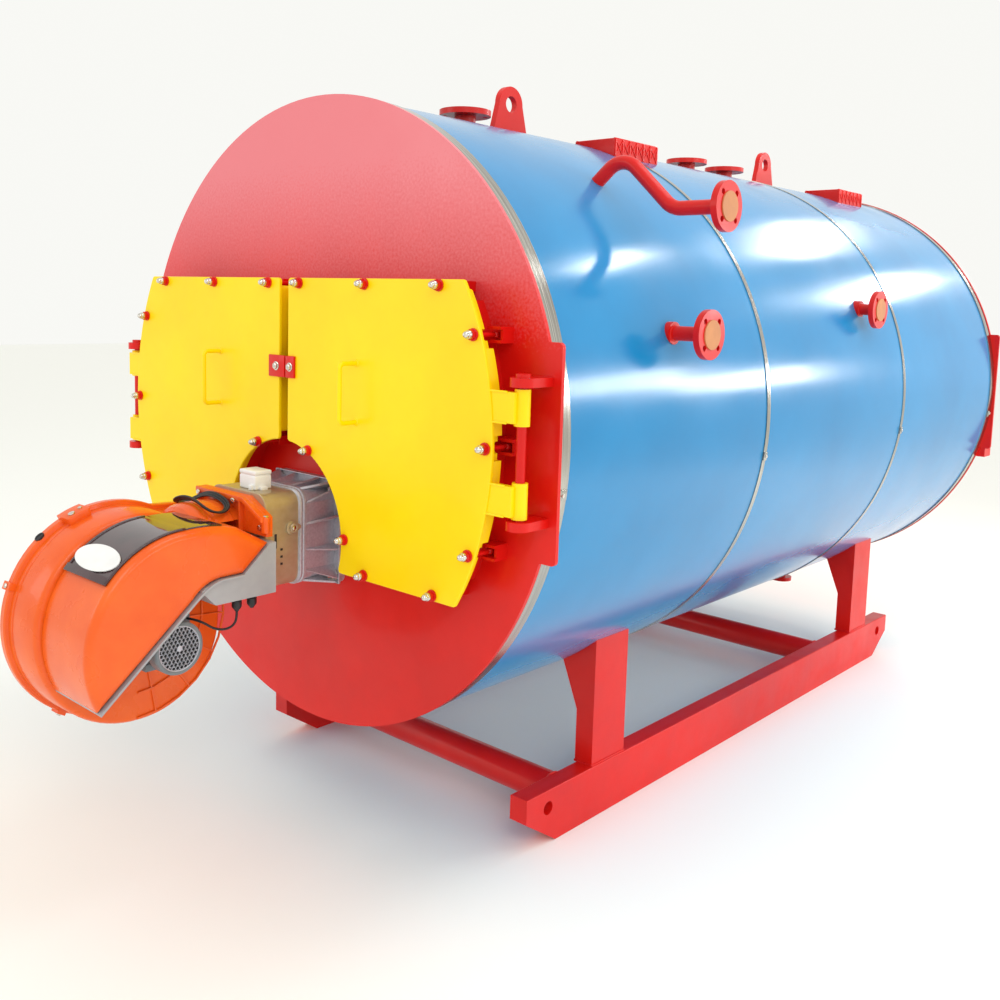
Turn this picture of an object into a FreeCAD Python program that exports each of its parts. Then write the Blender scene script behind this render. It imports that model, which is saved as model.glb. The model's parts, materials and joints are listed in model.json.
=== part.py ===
"""Horizontal fire-tube steam boiler on a steel skid, with its forced-draught burner.

Millimetres. x is right of the boiler's middle plane and z is up from the floor. While a piece is
drawn, y is measured back from the face of the front plate. put() then moves every piece forward,
so that the origin is on the floor at the middle of the whole object's footprint.
"""
import FreeCAD, Part
import math
import os
from FreeCAD import Vector

# Overall sizes of the boiler
BARREL_R = 1000.0        # front and rear plates
BARREL_L = 3612.0        # from the face of the front plate to the face of the rear plate
BARREL_UP = 382.0        # underside of the barrel above the floor
AXIS_Z = BARREL_R + BARREL_UP
PLATE_T = 12.0
EAR_X = BARREL_R + 6     # half the width over the hinge ears
EAR_UP, EAR_DOWN = 280.0, 306.0
EAR_IN = BARREL_R - 120
EAR_ROUND = 14.0

# Cladding, in three sheet courses under stainless bands
CLAD_GAP = 8.0           # the plates stand this far proud of the cladding
CLAD_T = 40.0
COURSE_JOINTS = (1166.0, BARREL_L - 1220)
BAND_W, BAND_T = 22.0, 3.0
TRIM_W, TRIM_T = 48.0, 5.0
SEAT = 0.2               # clearance between curved faces that seat on each other

# Skid
SKID_X = 658.0           # outer face
SKID_W, SKID_H = 70.0, 186.0
SKID_Y0, SKID_Y1 = 347.0, BARREL_L - 337
SKID_NOSE = 82.0         # upright part of each end
SKID_SLOPE = 157.0       # length of the slope below it
SKID_HOLE_R = 23.0
SKID_HOLE_IN, SKID_HOLE_Z = 110.0, 125.0
POST_X, POST_W = SKID_X - 80, 72.0
POST_Y, POST_D = (700.0, BARREL_L - 782), 190.0
GUSSET_T, GUSSET_IN, GUSSET_H = 10.0, 84.0, 205.0
CROSS_R = 54.0
CROSS_Y = (565.0, BARREL_L - 1044)

# Lifting lugs and fittings on top
LUG_Y = (910.0, BARREL_L - 707)
LUG_T, LUG_W, LUG_R = 24.0, 184.0, 65.0
LUG_HOLE_R, LUG_HOLE_UP = 30.0, 111.0
TOP_NOZZLE_Y = (674.0, BARREL_L - 1442, BARREL_L - 1097)
TOP_FLANGE_R, TOP_FLANGE_T, TOP_FLANGE_UP = 92.5, 20.0, 54.0
TOP_PIPE_R, TOP_PCD, TOP_COVER_R = 38.0, 145.0, 60.0
TREAD_X0, TREAD_X1 = 212.0, 390.0
TREAD_Y, TREAD_L, TREAD_UP = (1050.0, BARREL_L - 652), 280.0, -24.0

# Side nozzles, for the water gauges
FLANGE_R, FLANGE_T, FLANGE_PCD, FLANGE_HOLE_R = 74.0, 20.0, 110.0, 9.0
PIPE_R, COLLAR_R, COLLAR_T = 22.0, 34.0, 12.0
COVER_R, COVER_T = 44.0, 4.0
HIGH_Y, HIGH_Z, HIGH_X = 630.0, BARREL_R - 328, BARREL_R + 104
LOW_NOZZLES = ((604.0, 300.0, BARREL_R + 84), (2041.0, 388.0, BARREL_R + 4))
GAUGE_LEAVES, GAUGE_CREST, GAUGE_CORNER = (-508.0, -352.0), (-274.0, -154.0), -87.0   # from the barrel radius
BEND_R = 76.0
DRAIN_Y, DRAIN_DROP, DRAIN_R, DRAIN_FLANGE_R = BARREL_L - 212, 160.0, 24.0, 57.0

# Smoke box on the front plate, and its two doors
BOX_DEPTH = 70.0
BOX_R, BOX_UP, BOX_DOWN, BOX_WALL = BARREL_R - 178, 382.0, 392.0, 12.0
DOOR_FACE = 120.0        # face of the doors ahead of the front plate
DOOR_SHEET, DOOR_BODY = 10.0, 39.0
DOOR_R, DOOR_UP, DOOR_DOWN = BARREL_R - 120, 435.0, 445.0
DOOR_GAP = 44.0
BODY_IN = 24.0
NOTCH_R = 285.0
NOTCH_STEP = 24.0
CORNER_R, EDGE_R = 12.0, 3.0
HANDLE_X, HANDLE_UP, HANDLE_H = 345.0, 105.0, 172.0
HANDLE_R, HANDLE_OUT = 7.0, 62.0

# Swing bolts: places on the right door, from its edges and from the notch round the burner
BURNER_DROP = -355.0     # burner axis from the boiler axis
BOLT_IN, BOLT_FIRST, BOLT_LAST = 16.0, DOOR_GAP / 2 + 56, DOOR_R - 204
BOLTS_TOP = tuple((x, DOOR_UP - BOLT_IN) for x in (BOLT_FIRST, (BOLT_FIRST + BOLT_LAST) / 2, BOLT_LAST))
BOLTS_SIDE = ((DOOR_R - 74, 293.0), (DOOR_R - 22, 0.0), (DOOR_R - 74, -293.0))
BOLTS_LOW = ((BOLT_LAST, BOLT_IN - DOOR_DOWN), (NOTCH_R + 107, BOLT_IN - DOOR_DOWN),
             (NOTCH_R + 17, BURNER_DROP + 17), (NOTCH_R - 157, BURNER_DROP + NOTCH_R - 20))
ROD_R, ROD_SLOT, NUT_R, NUT_L, WASHER_R, WASHER_T = 6.0, 8.0, 11.0, 24.0, 17.0, 7.0
ROD_BACK, CLEVIS_DEPTH = 30.0, 52.0
CLEVIS_T, CLEVIS_HALF, CLEVIS_REACH = 8.0, 14.0, 34.0

# Door hinges
HINGE_X, HINGE_Y = DOOR_R + 65, -80.0
PIN_R, BARREL_FIT, KNUCKLE_R, KNUCKLE_H = 13.0, 0.08, 21.0, 95.0
KNUCKLE_Z = (113.0, -129.0)
ARM_FACE, ARM_T, ARM_H, ARM_LAP = -115.0, 22.0, 80.0, 60.0
LUG_PLATE_T, LUG_PLATE_R = 24.0, 34.0
LUG_CLEAR = 5.2
PIN_HEAD_R, PIN_HEAD_H = 20.0, 10.0

# Rear cover
COVER_REAR_R, COVER_REAR_T, COVER_RIM = BARREL_R - 200, 60.0, 24.0
COVER_FLAT = 90.0
REAR_HINGES = ((40.0, 256.0), (-352.0, -247.0))
REAR_HINGE_Y, REAR_HINGE_R = 88.0, 32.0

# Burner: heights are from the boiler axis, lengths from the front plate's face
HEAD_PLATE, HEAD_PLATE_T = 330.0, 18.0
HEAD_W, HEAD_H, HEAD_ROUND = 280.0, 290.0, 42.0
CONE_Y, HEAD_Y = -150.0, -289.0

FAN_Y, FAN_Z, FAN_R = -575.0, -560.0, 340.0
FAN_X0, FAN_X1 = -230.0, -52.0
FAN_REAR_Y, FAN_LOW = -292.0, -895.0
HOOD_X0, HOOD_X1, HOOD_R = -50.0, 200.0, 305.0
HOOD_Y, HOOD_Z = -572.0, -569.0
HOOD_EDGE, HOOD_CHIN = 24.0, 207.0
WINDOW_GAP, WINDOW_T = 0.3, 4.0
WINDOW_ANGLES = (139.0, 70.0)
BADGE_X, BADGE_ANGLE, BADGE_W, BADGE_H, BADGE_T, BADGE_GAP = 70.0, 130.0, 150.0, 78.0, 3.0, 0.6
MOTOR_Y, MOTOR_Z, MOTOR_R, MOTOR_X1 = -600.0, -592.0, 74.0, 184.0


REAR_BACK = BARREL_L + REAR_HINGE_Y + REAR_HINGE_R
Y_MID = (REAR_BACK + FAN_Y - FAN_R) / 2
CLAD_R = BARREL_R - CLAD_GAP
X, Y, Z = Vector(1, 0, 0), Vector(0, 1, 0), Vector(0, 0, 1)


def box(x0, x1, y0, y1, z0, z1):
    """Box between two corners, with z from the boiler axis."""
    return Part.makeBox(x1 - x0, y1 - y0, z1 - z0, Vector(x0, y0, AXIS_Z + z0))


def rod(x, y, z, radius, length, direction):
    """Round bar that starts at a point, with z from the boiler axis."""
    return Part.makeCylinder(radius, length, Vector(x, y, AXIS_Z + z), direction)


def tube(outer, inner, y0, y1):
    """Ring about the boiler axis."""
    return rod(0, y0, 0, outer, y1 - y0, Y).cut(rod(0, y0 - 1, 0, inner, y1 - y0 + 2, Y))


def union(shapes):
    """One solid from pieces that are welded or cast together."""
    return shapes[0].multiFuse(shapes[1:]).removeSplitter()


def mirrored(shape):
    """The same piece on the other side of the boiler's middle plane."""
    return shape.mirror(Vector(0, 0, 0), X)


def side_profile(points, x0, x1):
    """Outline in y and z, z from the boiler axis, drawn out in x.

    A point is (y, z). A point of the form (y, z, ym, zm) is reached by an arc through (ym, zm).
    """
    edges = []
    start = points[-1]
    for point in points:
        a = Vector(x0, start[0], AXIS_Z + start[1])
        b = Vector(x0, point[0], AXIS_Z + point[1])
        if len(point) == 4:
            edges.append(Part.Arc(a, Vector(x0, point[2], AXIS_Z + point[3]), b).toShape())
        else:
            edges.append(Part.makeLine(a, b))
        start = point
    return Part.Face(Part.Wire(edges)).extrude(Vector(x1 - x0, 0, 0))


def edges_along(shape, direction):
    """Straight edges of a shape that run in one direction."""
    found = []
    for edge in shape.Edges:
        if isinstance(edge.Curve, Part.Line) and abs(edge.tangentAt(edge.FirstParameter).dot(direction)) > 0.999:
            found.append(edge)
    return found


def edges_on(shape, place, value):
    """Edges that lie in the plane where one coordinate has a value."""
    found = []
    for edge in shape.Edges:
        low, high = getattr(edge.BoundBox, place + "Min"), getattr(edge.BoundBox, place + "Max")
        if abs(low - value) < 0.01 and abs(high - value) < 0.01:
            found.append(edge)
    return found


def bent_tube(points, bend_r, radius):
    """Tube along straight runs that are joined by tangent arcs."""
    edges = []
    start = points[0]
    for before, corner, after in zip(points, points[1:], points[2:]):
        u = (before - corner).normalize()
        v = (after - corner).normalize()
        half = u.getAngle(v) / 2
        reach = bend_r / math.tan(half)
        a, b = corner + u * reach, corner + v * reach
        middle = corner + (u + v).normalize() * (bend_r / math.sin(half) - bend_r)
        edges.append(Part.makeLine(start, a))
        edges.append(Part.Arc(a, middle, b).toShape())
        start = b
    edges.append(Part.makeLine(start, points[-1]))
    path = Part.Wire(edges)
    ring = Part.Wire(Part.makeCircle(radius, points[0], points[1] - points[0]))
    return path.makePipeShell([ring], True, True)


def bolt_circle(x, y, z, pcd, radius, length, direction):
    """Four holes of a flange, set at 45 degrees to its upright line."""
    if direction.x:
        across, up = Y, Z
    else:
        across, up = X, Y
    holes = []
    for corner in range(4):
        angle = math.radians(45 + 90 * corner)
        place = Vector(x, y, AXIS_Z + z) + (across * math.cos(angle) + up * math.sin(angle)) * (pcd / 2)
        holes.append(Part.makeCylinder(radius, length, place, direction))
    return Part.makeCompound(holes)


# ---- Barrel ---------------------------------------------------------------------------------

def end_plate(y0):
    """Round end plate with an ear on each side for the door hinges."""
    plate = rod(0, y0, 0, BARREL_R, PLATE_T, Y)
    ear = box(EAR_IN, EAR_X, y0, y0 + PLATE_T, -EAR_DOWN, EAR_UP)
    corners = [e for e in edges_along(ear, Y) if e.BoundBox.XMin > EAR_X - 1]
    ear = ear.makeFillet(EAR_ROUND, corners)
    return union([plate, ear, mirrored(ear)])


def cladding():
    """Three courses of painted sheet over the insulation."""
    joints = (PLATE_T,) + COURSE_JOINTS + (BARREL_L - PLATE_T,)
    names = ("cladding_front", "cladding_middle", "cladding_rear")
    return {n: tube(CLAD_R, CLAD_R - CLAD_T, a, b) for n, a, b in zip(names, joints, joints[1:])}


def trim_ring(y0, y1):
    """Stainless edge strip round the cladding."""
    return tube(CLAD_R + SEAT + TRIM_T, CLAD_R + SEAT, y0, y1)


def bands():
    """Stainless bands over the joints of the cladding."""
    rings = []
    for joint in COURSE_JOINTS:
        rings.append(tube(CLAD_R + SEAT + BAND_T, CLAD_R + SEAT, joint - BAND_W / 2, joint + BAND_W / 2))
    return Part.makeCompound(rings)


# ---- Skid -----------------------------------------------------------------------------------

def skid_rail():
    """Long box section with sloping ends and a towing hole through each end."""
    floor = -AXIS_Z
    top = floor + SKID_H
    nose = top - SKID_NOSE
    outline = ((SKID_Y0, top), (SKID_Y0, nose), (SKID_Y0 + SKID_SLOPE, floor),
               (SKID_Y1 - SKID_SLOPE, floor), (SKID_Y1, nose), (SKID_Y1, top))
    rail = side_profile(outline, SKID_X - SKID_W, SKID_X)
    rail = rail.makeFillet(4.0, edges_along(rail, Y))
    for y in (SKID_Y0 + SKID_HOLE_IN, SKID_Y1 - SKID_HOLE_IN):
        rail = rail.cut(rod(SKID_X - SKID_W - 1, y, floor + SKID_HOLE_Z, SKID_HOLE_R, SKID_W + 2, X))
    return rail


def post(y0):
    """Upright between the skid and the barrel, with a gusset on its inner side."""
    foot = SKID_H - AXIS_Z
    top = -BARREL_R / 2
    upright = box(POST_X, POST_X + POST_W, y0, y0 + POST_D, foot, top)
    head = -math.sqrt(CLAD_R ** 2 - POST_X ** 2)
    corners = [Vector(POST_X, y0, AXIS_Z + head - GUSSET_H), Vector(POST_X, y0, AXIS_Z + top),
               Vector(POST_X - GUSSET_IN, y0, AXIS_Z + top), Vector(POST_X - GUSSET_IN, y0, AXIS_Z + head)]
    gusset = Part.Face(Part.makePolygon(corners + corners[:1])).extrude(Vector(0, GUSSET_T, 0))
    barrel = rod(0, y0 - 1, 0, CLAD_R + SEAT, POST_D + 2, Y)
    return union([upright, gusset]).cut(barrel)


def cross_pipes():
    """Round pipes that tie the two skid rails together."""
    reach = SKID_X - SKID_W
    up = SKID_H - CROSS_R - AXIS_Z
    return Part.makeCompound([rod(-reach, y, up, CROSS_R, 2 * reach, X) for y in CROSS_Y])


# ---- Fittings -------------------------------------------------------------------------------

def lifting_lug(y):
    """Upright plate with a round head and an eye."""
    foot = CLAD_R + SEAT
    eye = BARREL_R + LUG_HOLE_UP
    side = LUG_R * 0.995
    outline = ((y - LUG_W / 2, foot - 20), (y - LUG_W / 2, foot + 22), (y - side, eye),
               (y + side, eye, y, eye + LUG_R), (y + LUG_W / 2, foot + 22), (y + LUG_W / 2, foot - 20))
    plate = side_profile(outline, -LUG_T / 2, LUG_T / 2)
    plate = plate.cut(rod(-LUG_T, y, eye, LUG_HOLE_R, 2 * LUG_T, X))
    return plate.cut(rod(0, y - LUG_W, 0, foot, 2 * LUG_W, Y))


def top_nozzles():
    """Short flanged branches on the crown, each with a blank."""
    barrel = rod(0, 0, 0, CLAD_R + SEAT, BARREL_L, Y)
    face = BARREL_R + TOP_FLANGE_UP
    branches = []
    for y in TOP_NOZZLE_Y:
        branch = union([rod(0, y, CLAD_R - 30, TOP_PIPE_R, face - CLAD_R + 10, Z),
                        rod(0, y, face - TOP_FLANGE_T, TOP_FLANGE_R, TOP_FLANGE_T, Z)])
        holes = bolt_circle(0, y, face - TOP_FLANGE_T - 1, TOP_PCD, FLANGE_HOLE_R, TOP_FLANGE_T + 2, Z)
        branches.append(branch.cut(holes).cut(barrel))
    return Part.makeCompound(branches)


def treads():
    """Flat stepping plates with skirts, two on each side of the crown."""
    barrel = rod(0, 0, 0, CLAD_R + SEAT, BARREL_L, Y)
    for joint in COURSE_JOINTS:
        barrel = barrel.fuse(rod(0, joint - BAND_W / 2, 0, CLAD_R + BAND_T + 2 * SEAT, BAND_W, Y))
    right = [box(TREAD_X0, TREAD_X1, y, y + TREAD_L, 0, BARREL_R + TREAD_UP).cut(barrel) for y in TREAD_Y]
    return Part.makeCompound(right + [mirrored(tread) for tread in right])


def side_flange(x, y, z):
    """Flange that faces sideways, with four bolt holes."""
    disc = rod(x - FLANGE_T, y, z, FLANGE_R, FLANGE_T, X)
    return disc.cut(bolt_circle(x - FLANGE_T - 1, y, z, FLANGE_PCD, FLANGE_HOLE_R, FLANGE_T + 2, X))


def gauge_pipe():
    """Swan-neck pipe from the steam space to the upper gauge flange."""
    points = [Vector(BARREL_R + x, HIGH_Y, AXIS_Z + BARREL_R + z) for x, z in (GAUGE_LEAVES, GAUGE_CREST)]
    points += [Vector(BARREL_R + GAUGE_CORNER, HIGH_Y, AXIS_Z + HIGH_Z), Vector(HIGH_X - FLANGE_T / 2, HIGH_Y, AXIS_Z + HIGH_Z)]
    pipe = bent_tube(points, BEND_R, PIPE_R)
    whole = union([pipe, side_flange(HIGH_X, HIGH_Y, HIGH_Z)])
    return whole.cut(rod(0, HIGH_Y - 200, 0, CLAD_R + SEAT, 400, Y))


def low_nozzles():
    """Straight branches with a collar on the cladding, facing sideways."""
    barrel = rod(0, 0, 0, CLAD_R + SEAT, BARREL_L, Y)
    branches = []
    for y, z, face in LOW_NOZZLES:
        skin = math.sqrt(CLAD_R ** 2 - z ** 2)
        stub = rod(skin - 60, y, z, PIPE_R, face - skin + 50, X)
        collar = rod(skin - 40, y, z, COLLAR_R, 40 + COLLAR_T, X)
        branches.append(union([stub, collar, side_flange(face, y, z)]).cut(barrel))
    return Part.makeCompound(branches)


def flange_covers():
    """Blank discs on the raised faces of the side and top flanges."""
    discs = [rod(x, y, z, COVER_R, COVER_T, X) for y, z, x in LOW_NOZZLES + ((HIGH_Y, HIGH_Z, HIGH_X),)]
    discs += [mirrored(disc) for disc in discs]
    face = BARREL_R + TOP_FLANGE_UP
    discs += [rod(0, y, face, TOP_COVER_R, COVER_T, Z) for y in TOP_NOZZLE_Y]
    return Part.makeCompound(discs)


def drain():
    """Blow-down branch under the barrel."""
    pipe = rod(0, DRAIN_Y, -BARREL_R - DRAIN_DROP, DRAIN_R, DRAIN_DROP + 40, Z)
    flange = rod(0, DRAIN_Y, -BARREL_R - DRAIN_DROP, DRAIN_FLANGE_R, FLANGE_T, Z)
    return union([pipe, flange]).cut(rod(0, DRAIN_Y - 100, 0, CLAD_R + SEAT, 200, Y))


def rear_cover():
    """Round smoke-box cover on the rear plate, thinner at its bolting rim."""
    rim = rod(0, BARREL_L, 0, COVER_REAR_R, COVER_RIM, Y)
    boss = rod(0, BARREL_L, 0, COVER_REAR_R - COVER_FLAT, COVER_REAR_T, Y)
    cover = union([rim, boss])
    return cover.makeFillet(10.0, edges_on(cover, "Y", BARREL_L + COVER_REAR_T))


def rear_hinges():
    """Hinge blocks on the ears of the rear plate."""
    blocks = []
    for low, high in REAR_HINGES:
        y = BARREL_L + REAR_HINGE_Y
        knuckle = rod(HINGE_X, y, low, REAR_HINGE_R, high - low, Z)
        web = box(HINGE_X - REAR_HINGE_R, HINGE_X + REAR_HINGE_R, BARREL_L, y, low, high)
        blocks.append(union([knuckle, web]))
    return Part.makeCompound(blocks + [mirrored(block) for block in blocks])


# ---- Smoke box and doors --------------------------------------------------------------------

def door_slab(side_in, middle_in, notch, y0, y1):
    """Half of the door outline, drawn back by the given insets."""
    slab = box(DOOR_GAP / 2 + middle_in, DOOR_R, y0, y1, side_in - DOOR_DOWN, DOOR_UP - side_in)
    slab = slab.common(rod(0, y0, 0, DOOR_R - side_in, y1 - y0, Y))
    return slab.cut(rod(0, y0 - 1, BURNER_DROP, notch, y1 - y0 + 2, Y))


def smoke_box():
    """Frame welded on the front plate: outer wall, middle bar and the wall round the burner."""
    wide = EAR_X
    y0, y1 = -BOX_DEPTH, 0

    def outline(inset):
        body = box(-wide, wide, y0, y1, inset - BOX_DOWN, BOX_UP - inset)
        return body.common(rod(0, y0, 0, BOX_R - inset, BOX_DEPTH, Y))

    notch = NOTCH_R + 2 * NOTCH_STEP
    frame = outline(0).cut(outline(BOX_WALL))
    middle = box(-BOX_WALL, BOX_WALL, y0, y1, 0, BOX_UP)
    collar = rod(0, y0, BURNER_DROP, notch + BOX_WALL, BOX_DEPTH, Y).common(outline(0))
    frame = union([frame, middle, collar])
    return frame.cut(rod(0, y0 - 1, BURNER_DROP, notch, BOX_DEPTH + 2, Y))


def bolt_places():
    """Every swing bolt of the right door."""
    return BOLTS_TOP + BOLTS_SIDE + BOLTS_LOW


def door_sheet():
    """Front sheet of the right door, slotted for the swing bolts."""
    face = -DOOR_FACE
    sheet = door_slab(0, 0, NOTCH_R, face, face + DOOR_SHEET)
    sheet = sheet.makeFillet(CORNER_R, edges_along(sheet, Y))
    sheet = sheet.makeFillet(EDGE_R, edges_on(sheet, "Y", face))
    for x, z in bolt_places():
        sheet = sheet.cut(rod(x, face - 1, z, ROD_SLOT, DOOR_SHEET + 2, Y))
    return sheet


def door_body():
    """Insulated body of the right door, behind its sheet."""
    y0 = DOOR_SHEET - DOOR_FACE
    body = door_slab(BODY_IN, BODY_IN / 2, NOTCH_R + NOTCH_STEP, y0, y0 + DOOR_BODY)
    body = body.makeFillet(CORNER_R, edges_along(body, Y))
    for x, z in BOLTS_SIDE:
        body = body.cut(rod(x, y0 - 1, z, 2 * ROD_SLOT, DOOR_BODY + 2, Y))
        body = body.cut(box(x, DOOR_R, y0 - 1, y0 + DOOR_BODY + 1, z - 2 * ROD_SLOT, z + 2 * ROD_SLOT))
    return body


def door_bolts():
    """Swing bolts of the right door: rod, washer and cap nut, each one solid."""
    bolts = []
    for x, z in bolt_places():
        face = -DOOR_FACE
        shank = rod(x, face - NUT_L, z, ROD_R, DOOR_FACE + NUT_L - ROD_BACK, Y)
        washer = rod(x, face - WASHER_T, z, WASHER_R, WASHER_T, Y)
        nut = rod(x, face - WASHER_T - NUT_L, z, NUT_R, NUT_L, Y)
        dome = Part.makeSphere(NUT_R * 0.9, Vector(x, face - WASHER_T - NUT_L, AXIS_Z + z))
        bolts.append(union([shank, washer, nut, dome]))
    return bolts


def clevis(x, z, sideways):
    """Two cheeks and a web that hold the foot of a swing bolt."""
    half, reach = CLEVIS_HALF, CLEVIS_REACH
    cheeks = []
    for low in (-half - CLEVIS_T, half):
        if sideways:
            cheeks.append(box(x - half, x + reach, -CLEVIS_DEPTH, 0, z + low, z + low + CLEVIS_T))
        else:
            cheeks.append(box(x + low, x + low + CLEVIS_T, -CLEVIS_DEPTH, 0, z - half, z + half))
    if sideways:
        web = box(x + reach - CLEVIS_T, x + reach, -CLEVIS_DEPTH + 8, 0, z - half, z + half)
    else:
        web = box(x - half, x + half, -ROD_BACK + LUG_CLEAR + 3, 0, z - half, z + half)
    return union(cheeks + [web])


def clevises():
    """The clevises of both doors, on the front plate."""
    right = [clevis(x, z, True) for x, z in BOLTS_SIDE]
    right += [clevis(x, z, False) for x, z in BOLTS_TOP + BOLTS_LOW]
    return Part.makeCompound(right + [mirrored(item) for item in right])


def handle():
    """Round bar bent to a grip, welded on the right door's sheet."""
    y = -DOOR_FACE
    low, high = HANDLE_UP - HANDLE_H / 2, HANDLE_UP + HANDLE_H / 2
    points = [Vector(HANDLE_X, y, AXIS_Z + low), Vector(HANDLE_X, y - HANDLE_OUT, AXIS_Z + low),
              Vector(HANDLE_X, y - HANDLE_OUT, AXIS_Z + high), Vector(HANDLE_X, y, AXIS_Z + high)]
    return bent_tube(points, 2 * HANDLE_R, HANDLE_R)


def door_hinges():
    """Arms and knuckles welded on the edge of the right door."""
    arms = []
    for z in KNUCKLE_Z:
        arm = box(DOOR_R - ARM_LAP, HINGE_X, ARM_FACE, ARM_FACE + ARM_T, z - ARM_H / 2, z + ARM_H / 2)
        knuckle = rod(HINGE_X, HINGE_Y, z - KNUCKLE_H / 2, KNUCKLE_R, KNUCKLE_H, Z)
        bore = rod(HINGE_X, HINGE_Y, z - KNUCKLE_H, PIN_R + BARREL_FIT, 2 * KNUCKLE_H, Z)
        sheet_side = rod(0, -DOOR_FACE - 5, 0, DOOR_R, DOOR_SHEET + 5, Y)
        body_side = rod(0, DOOR_SHEET - DOOR_FACE, 0, DOOR_R - BODY_IN, DOOR_BODY, Y)
        arms.append(union([arm, knuckle]).cut(bore).cut(sheet_side).cut(body_side))
    return Part.makeCompound(arms)


def hinge_lug(z0, z1):
    """Flat lug on an ear of the front plate, with a round nose about the hinge pin."""
    nose = rod(HINGE_X, HINGE_Y, z0, LUG_PLATE_R, z1 - z0, Z)
    web = box(HINGE_X - LUG_PLATE_R, HINGE_X + LUG_PLATE_R, HINGE_Y, 0, z0, z1)
    return union([nose, web]).cut(rod(HINGE_X, HINGE_Y, z0 - 1, PIN_R, z1 - z0 + 2, Z))


def hinge_heights():
    """Undersides of the upper and lower lugs, clear of the knuckles."""
    upper = KNUCKLE_Z[0] + KNUCKLE_H / 2 + LUG_CLEAR
    lower = KNUCKLE_Z[1] - KNUCKLE_H / 2 - LUG_CLEAR - LUG_PLATE_T
    return upper, lower


def hinge_lugs():
    """Lugs above and below the knuckles, on both sides."""
    right = [hinge_lug(z, z + LUG_PLATE_T) for z in hinge_heights()]
    return Part.makeCompound(right + [mirrored(lug) for lug in right])


def hinge_pins():
    """Pins through the lugs and knuckles, with a head on top."""
    upper, lower = hinge_heights()
    pin = rod(HINGE_X, HINGE_Y, lower, PIN_R, upper + LUG_PLATE_T - lower, Z)
    head = rod(HINGE_X, HINGE_Y, upper + LUG_PLATE_T, PIN_HEAD_R, PIN_HEAD_H, Z)
    pin = union([pin, head])
    return Part.makeCompound([pin, mirrored(pin)])


def latch(x0, x1):
    """Flat plate of the latch across the joint between the doors."""
    return box(x0, x1, -DOOR_FACE - 8, -DOOR_FACE, 127, 195)


# ---- Burner ---------------------------------------------------------------------------------

def rounded_section(width, height, radius, y):
    """Upright rectangle with round corners, as a wire in the plane at y."""
    half, rise, centre = width / 2, height / 2, AXIS_Z + BURNER_DROP
    slab = Part.makeBox(width, 1, height, Vector(-half, y, centre - rise))
    slab = slab.makeFillet(radius, edges_along(slab, Y))
    faces = [f for f in slab.Faces if abs(f.BoundBox.YMax - y) < 0.01]
    return faces[0].OuterWire


def burner_flange():
    """Cast mounting plate and ribbed cone that carry the burner."""
    half = HEAD_PLATE / 2
    plate = box(-half, half, -HEAD_PLATE_T, 0, BURNER_DROP - half, BURNER_DROP + half)
    plate = plate.makeFillet(26.0, edges_along(plate, Y))
    wide = rounded_section(HEAD_W - 14, HEAD_H - 14, HEAD_ROUND, -HEAD_PLATE_T)
    narrow = rounded_section(HEAD_W, HEAD_H, HEAD_ROUND, CONE_Y)
    cone = Part.makeLoft([wide, narrow], True, True)
    return union([plate, cone])


def burner_head():
    """Champagne-coloured box of the burner head."""
    face = Part.Face(rounded_section(HEAD_W, HEAD_H, HEAD_ROUND, HEAD_Y))
    return face.extrude(Vector(0, CONE_Y - HEAD_Y, 0))


def fan_casing():
    """Spiral fan casing and its outlet to the head."""
    outline = ((FAN_REAR_Y, -232), (FAN_REAR_Y, FAN_Z),
               (FAN_Y, FAN_LOW, -358, -776), (FAN_Y, FAN_Z + FAN_R, FAN_Y - FAN_R, FAN_Z))
    casing = side_profile(outline, FAN_X0, FAN_X1)
    return casing.makeFillet(18.0, edges_on(casing, "X", FAN_X0) + edges_on(casing, "X", FAN_X1))


def hood_outline():
    """Side view of the hood: round front, straight sloping underside, pointed tail."""
    chin = math.radians(HOOD_CHIN)
    foot = (HOOD_Y + HOOD_R * math.cos(chin), HOOD_Z + HOOD_R * math.sin(chin), HOOD_Y - HOOD_R, HOOD_Z)
    return ((-311, -337), (-418, -277), (HOOD_Y, HOOD_Z + HOOD_R, -494, -264.5), foot, (-560, -462),
            (-470, -416, -520, -429), (-400, -415))


def hood():
    """Moulded cover over the fan outlet and the motor's flange."""
    body = side_profile(hood_outline(), HOOD_X0, HOOD_X1)
    body = body.makeFillet(HOOD_EDGE, edges_on(body, "X", HOOD_X1))
    return body.cut(rod(HOOD_X0 - 1, MOTOR_Y, MOTOR_Z, MOTOR_R + 4, MOTOR_X1 - HOOD_X0 + 5, X))


def hood_window():
    """Smoked cover strip over the top of the hood."""
    x0, x1 = HOOD_X0 + 12, HOOD_X1 - HOOD_EDGE
    outer = side_profile(hood_outline(), x0, x1).Faces
    flat = [face for face in outer if abs(face.BoundBox.XMax - x0) < 0.01][0]
    strip = Part.Face(flat.OuterWire.makeOffset2D(WINDOW_GAP + WINDOW_T))
    strip = strip.cut(Part.Face(flat.OuterWire.makeOffset2D(WINDOW_GAP)))
    strip = strip.Faces[0].extrude(Vector(x1 - x0, 0, 0))
    ends = []
    for angle, reach in zip(WINDOW_ANGLES + WINDOW_ANGLES[::-1], (230, 230, 600, 600)):
        turn = math.radians(angle)
        ends.append((HOOD_Y + reach * math.cos(turn), HOOD_Z + reach * math.sin(turn)))
    return strip.common(side_profile(ends, x0 - 1, x1 + 1))


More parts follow.
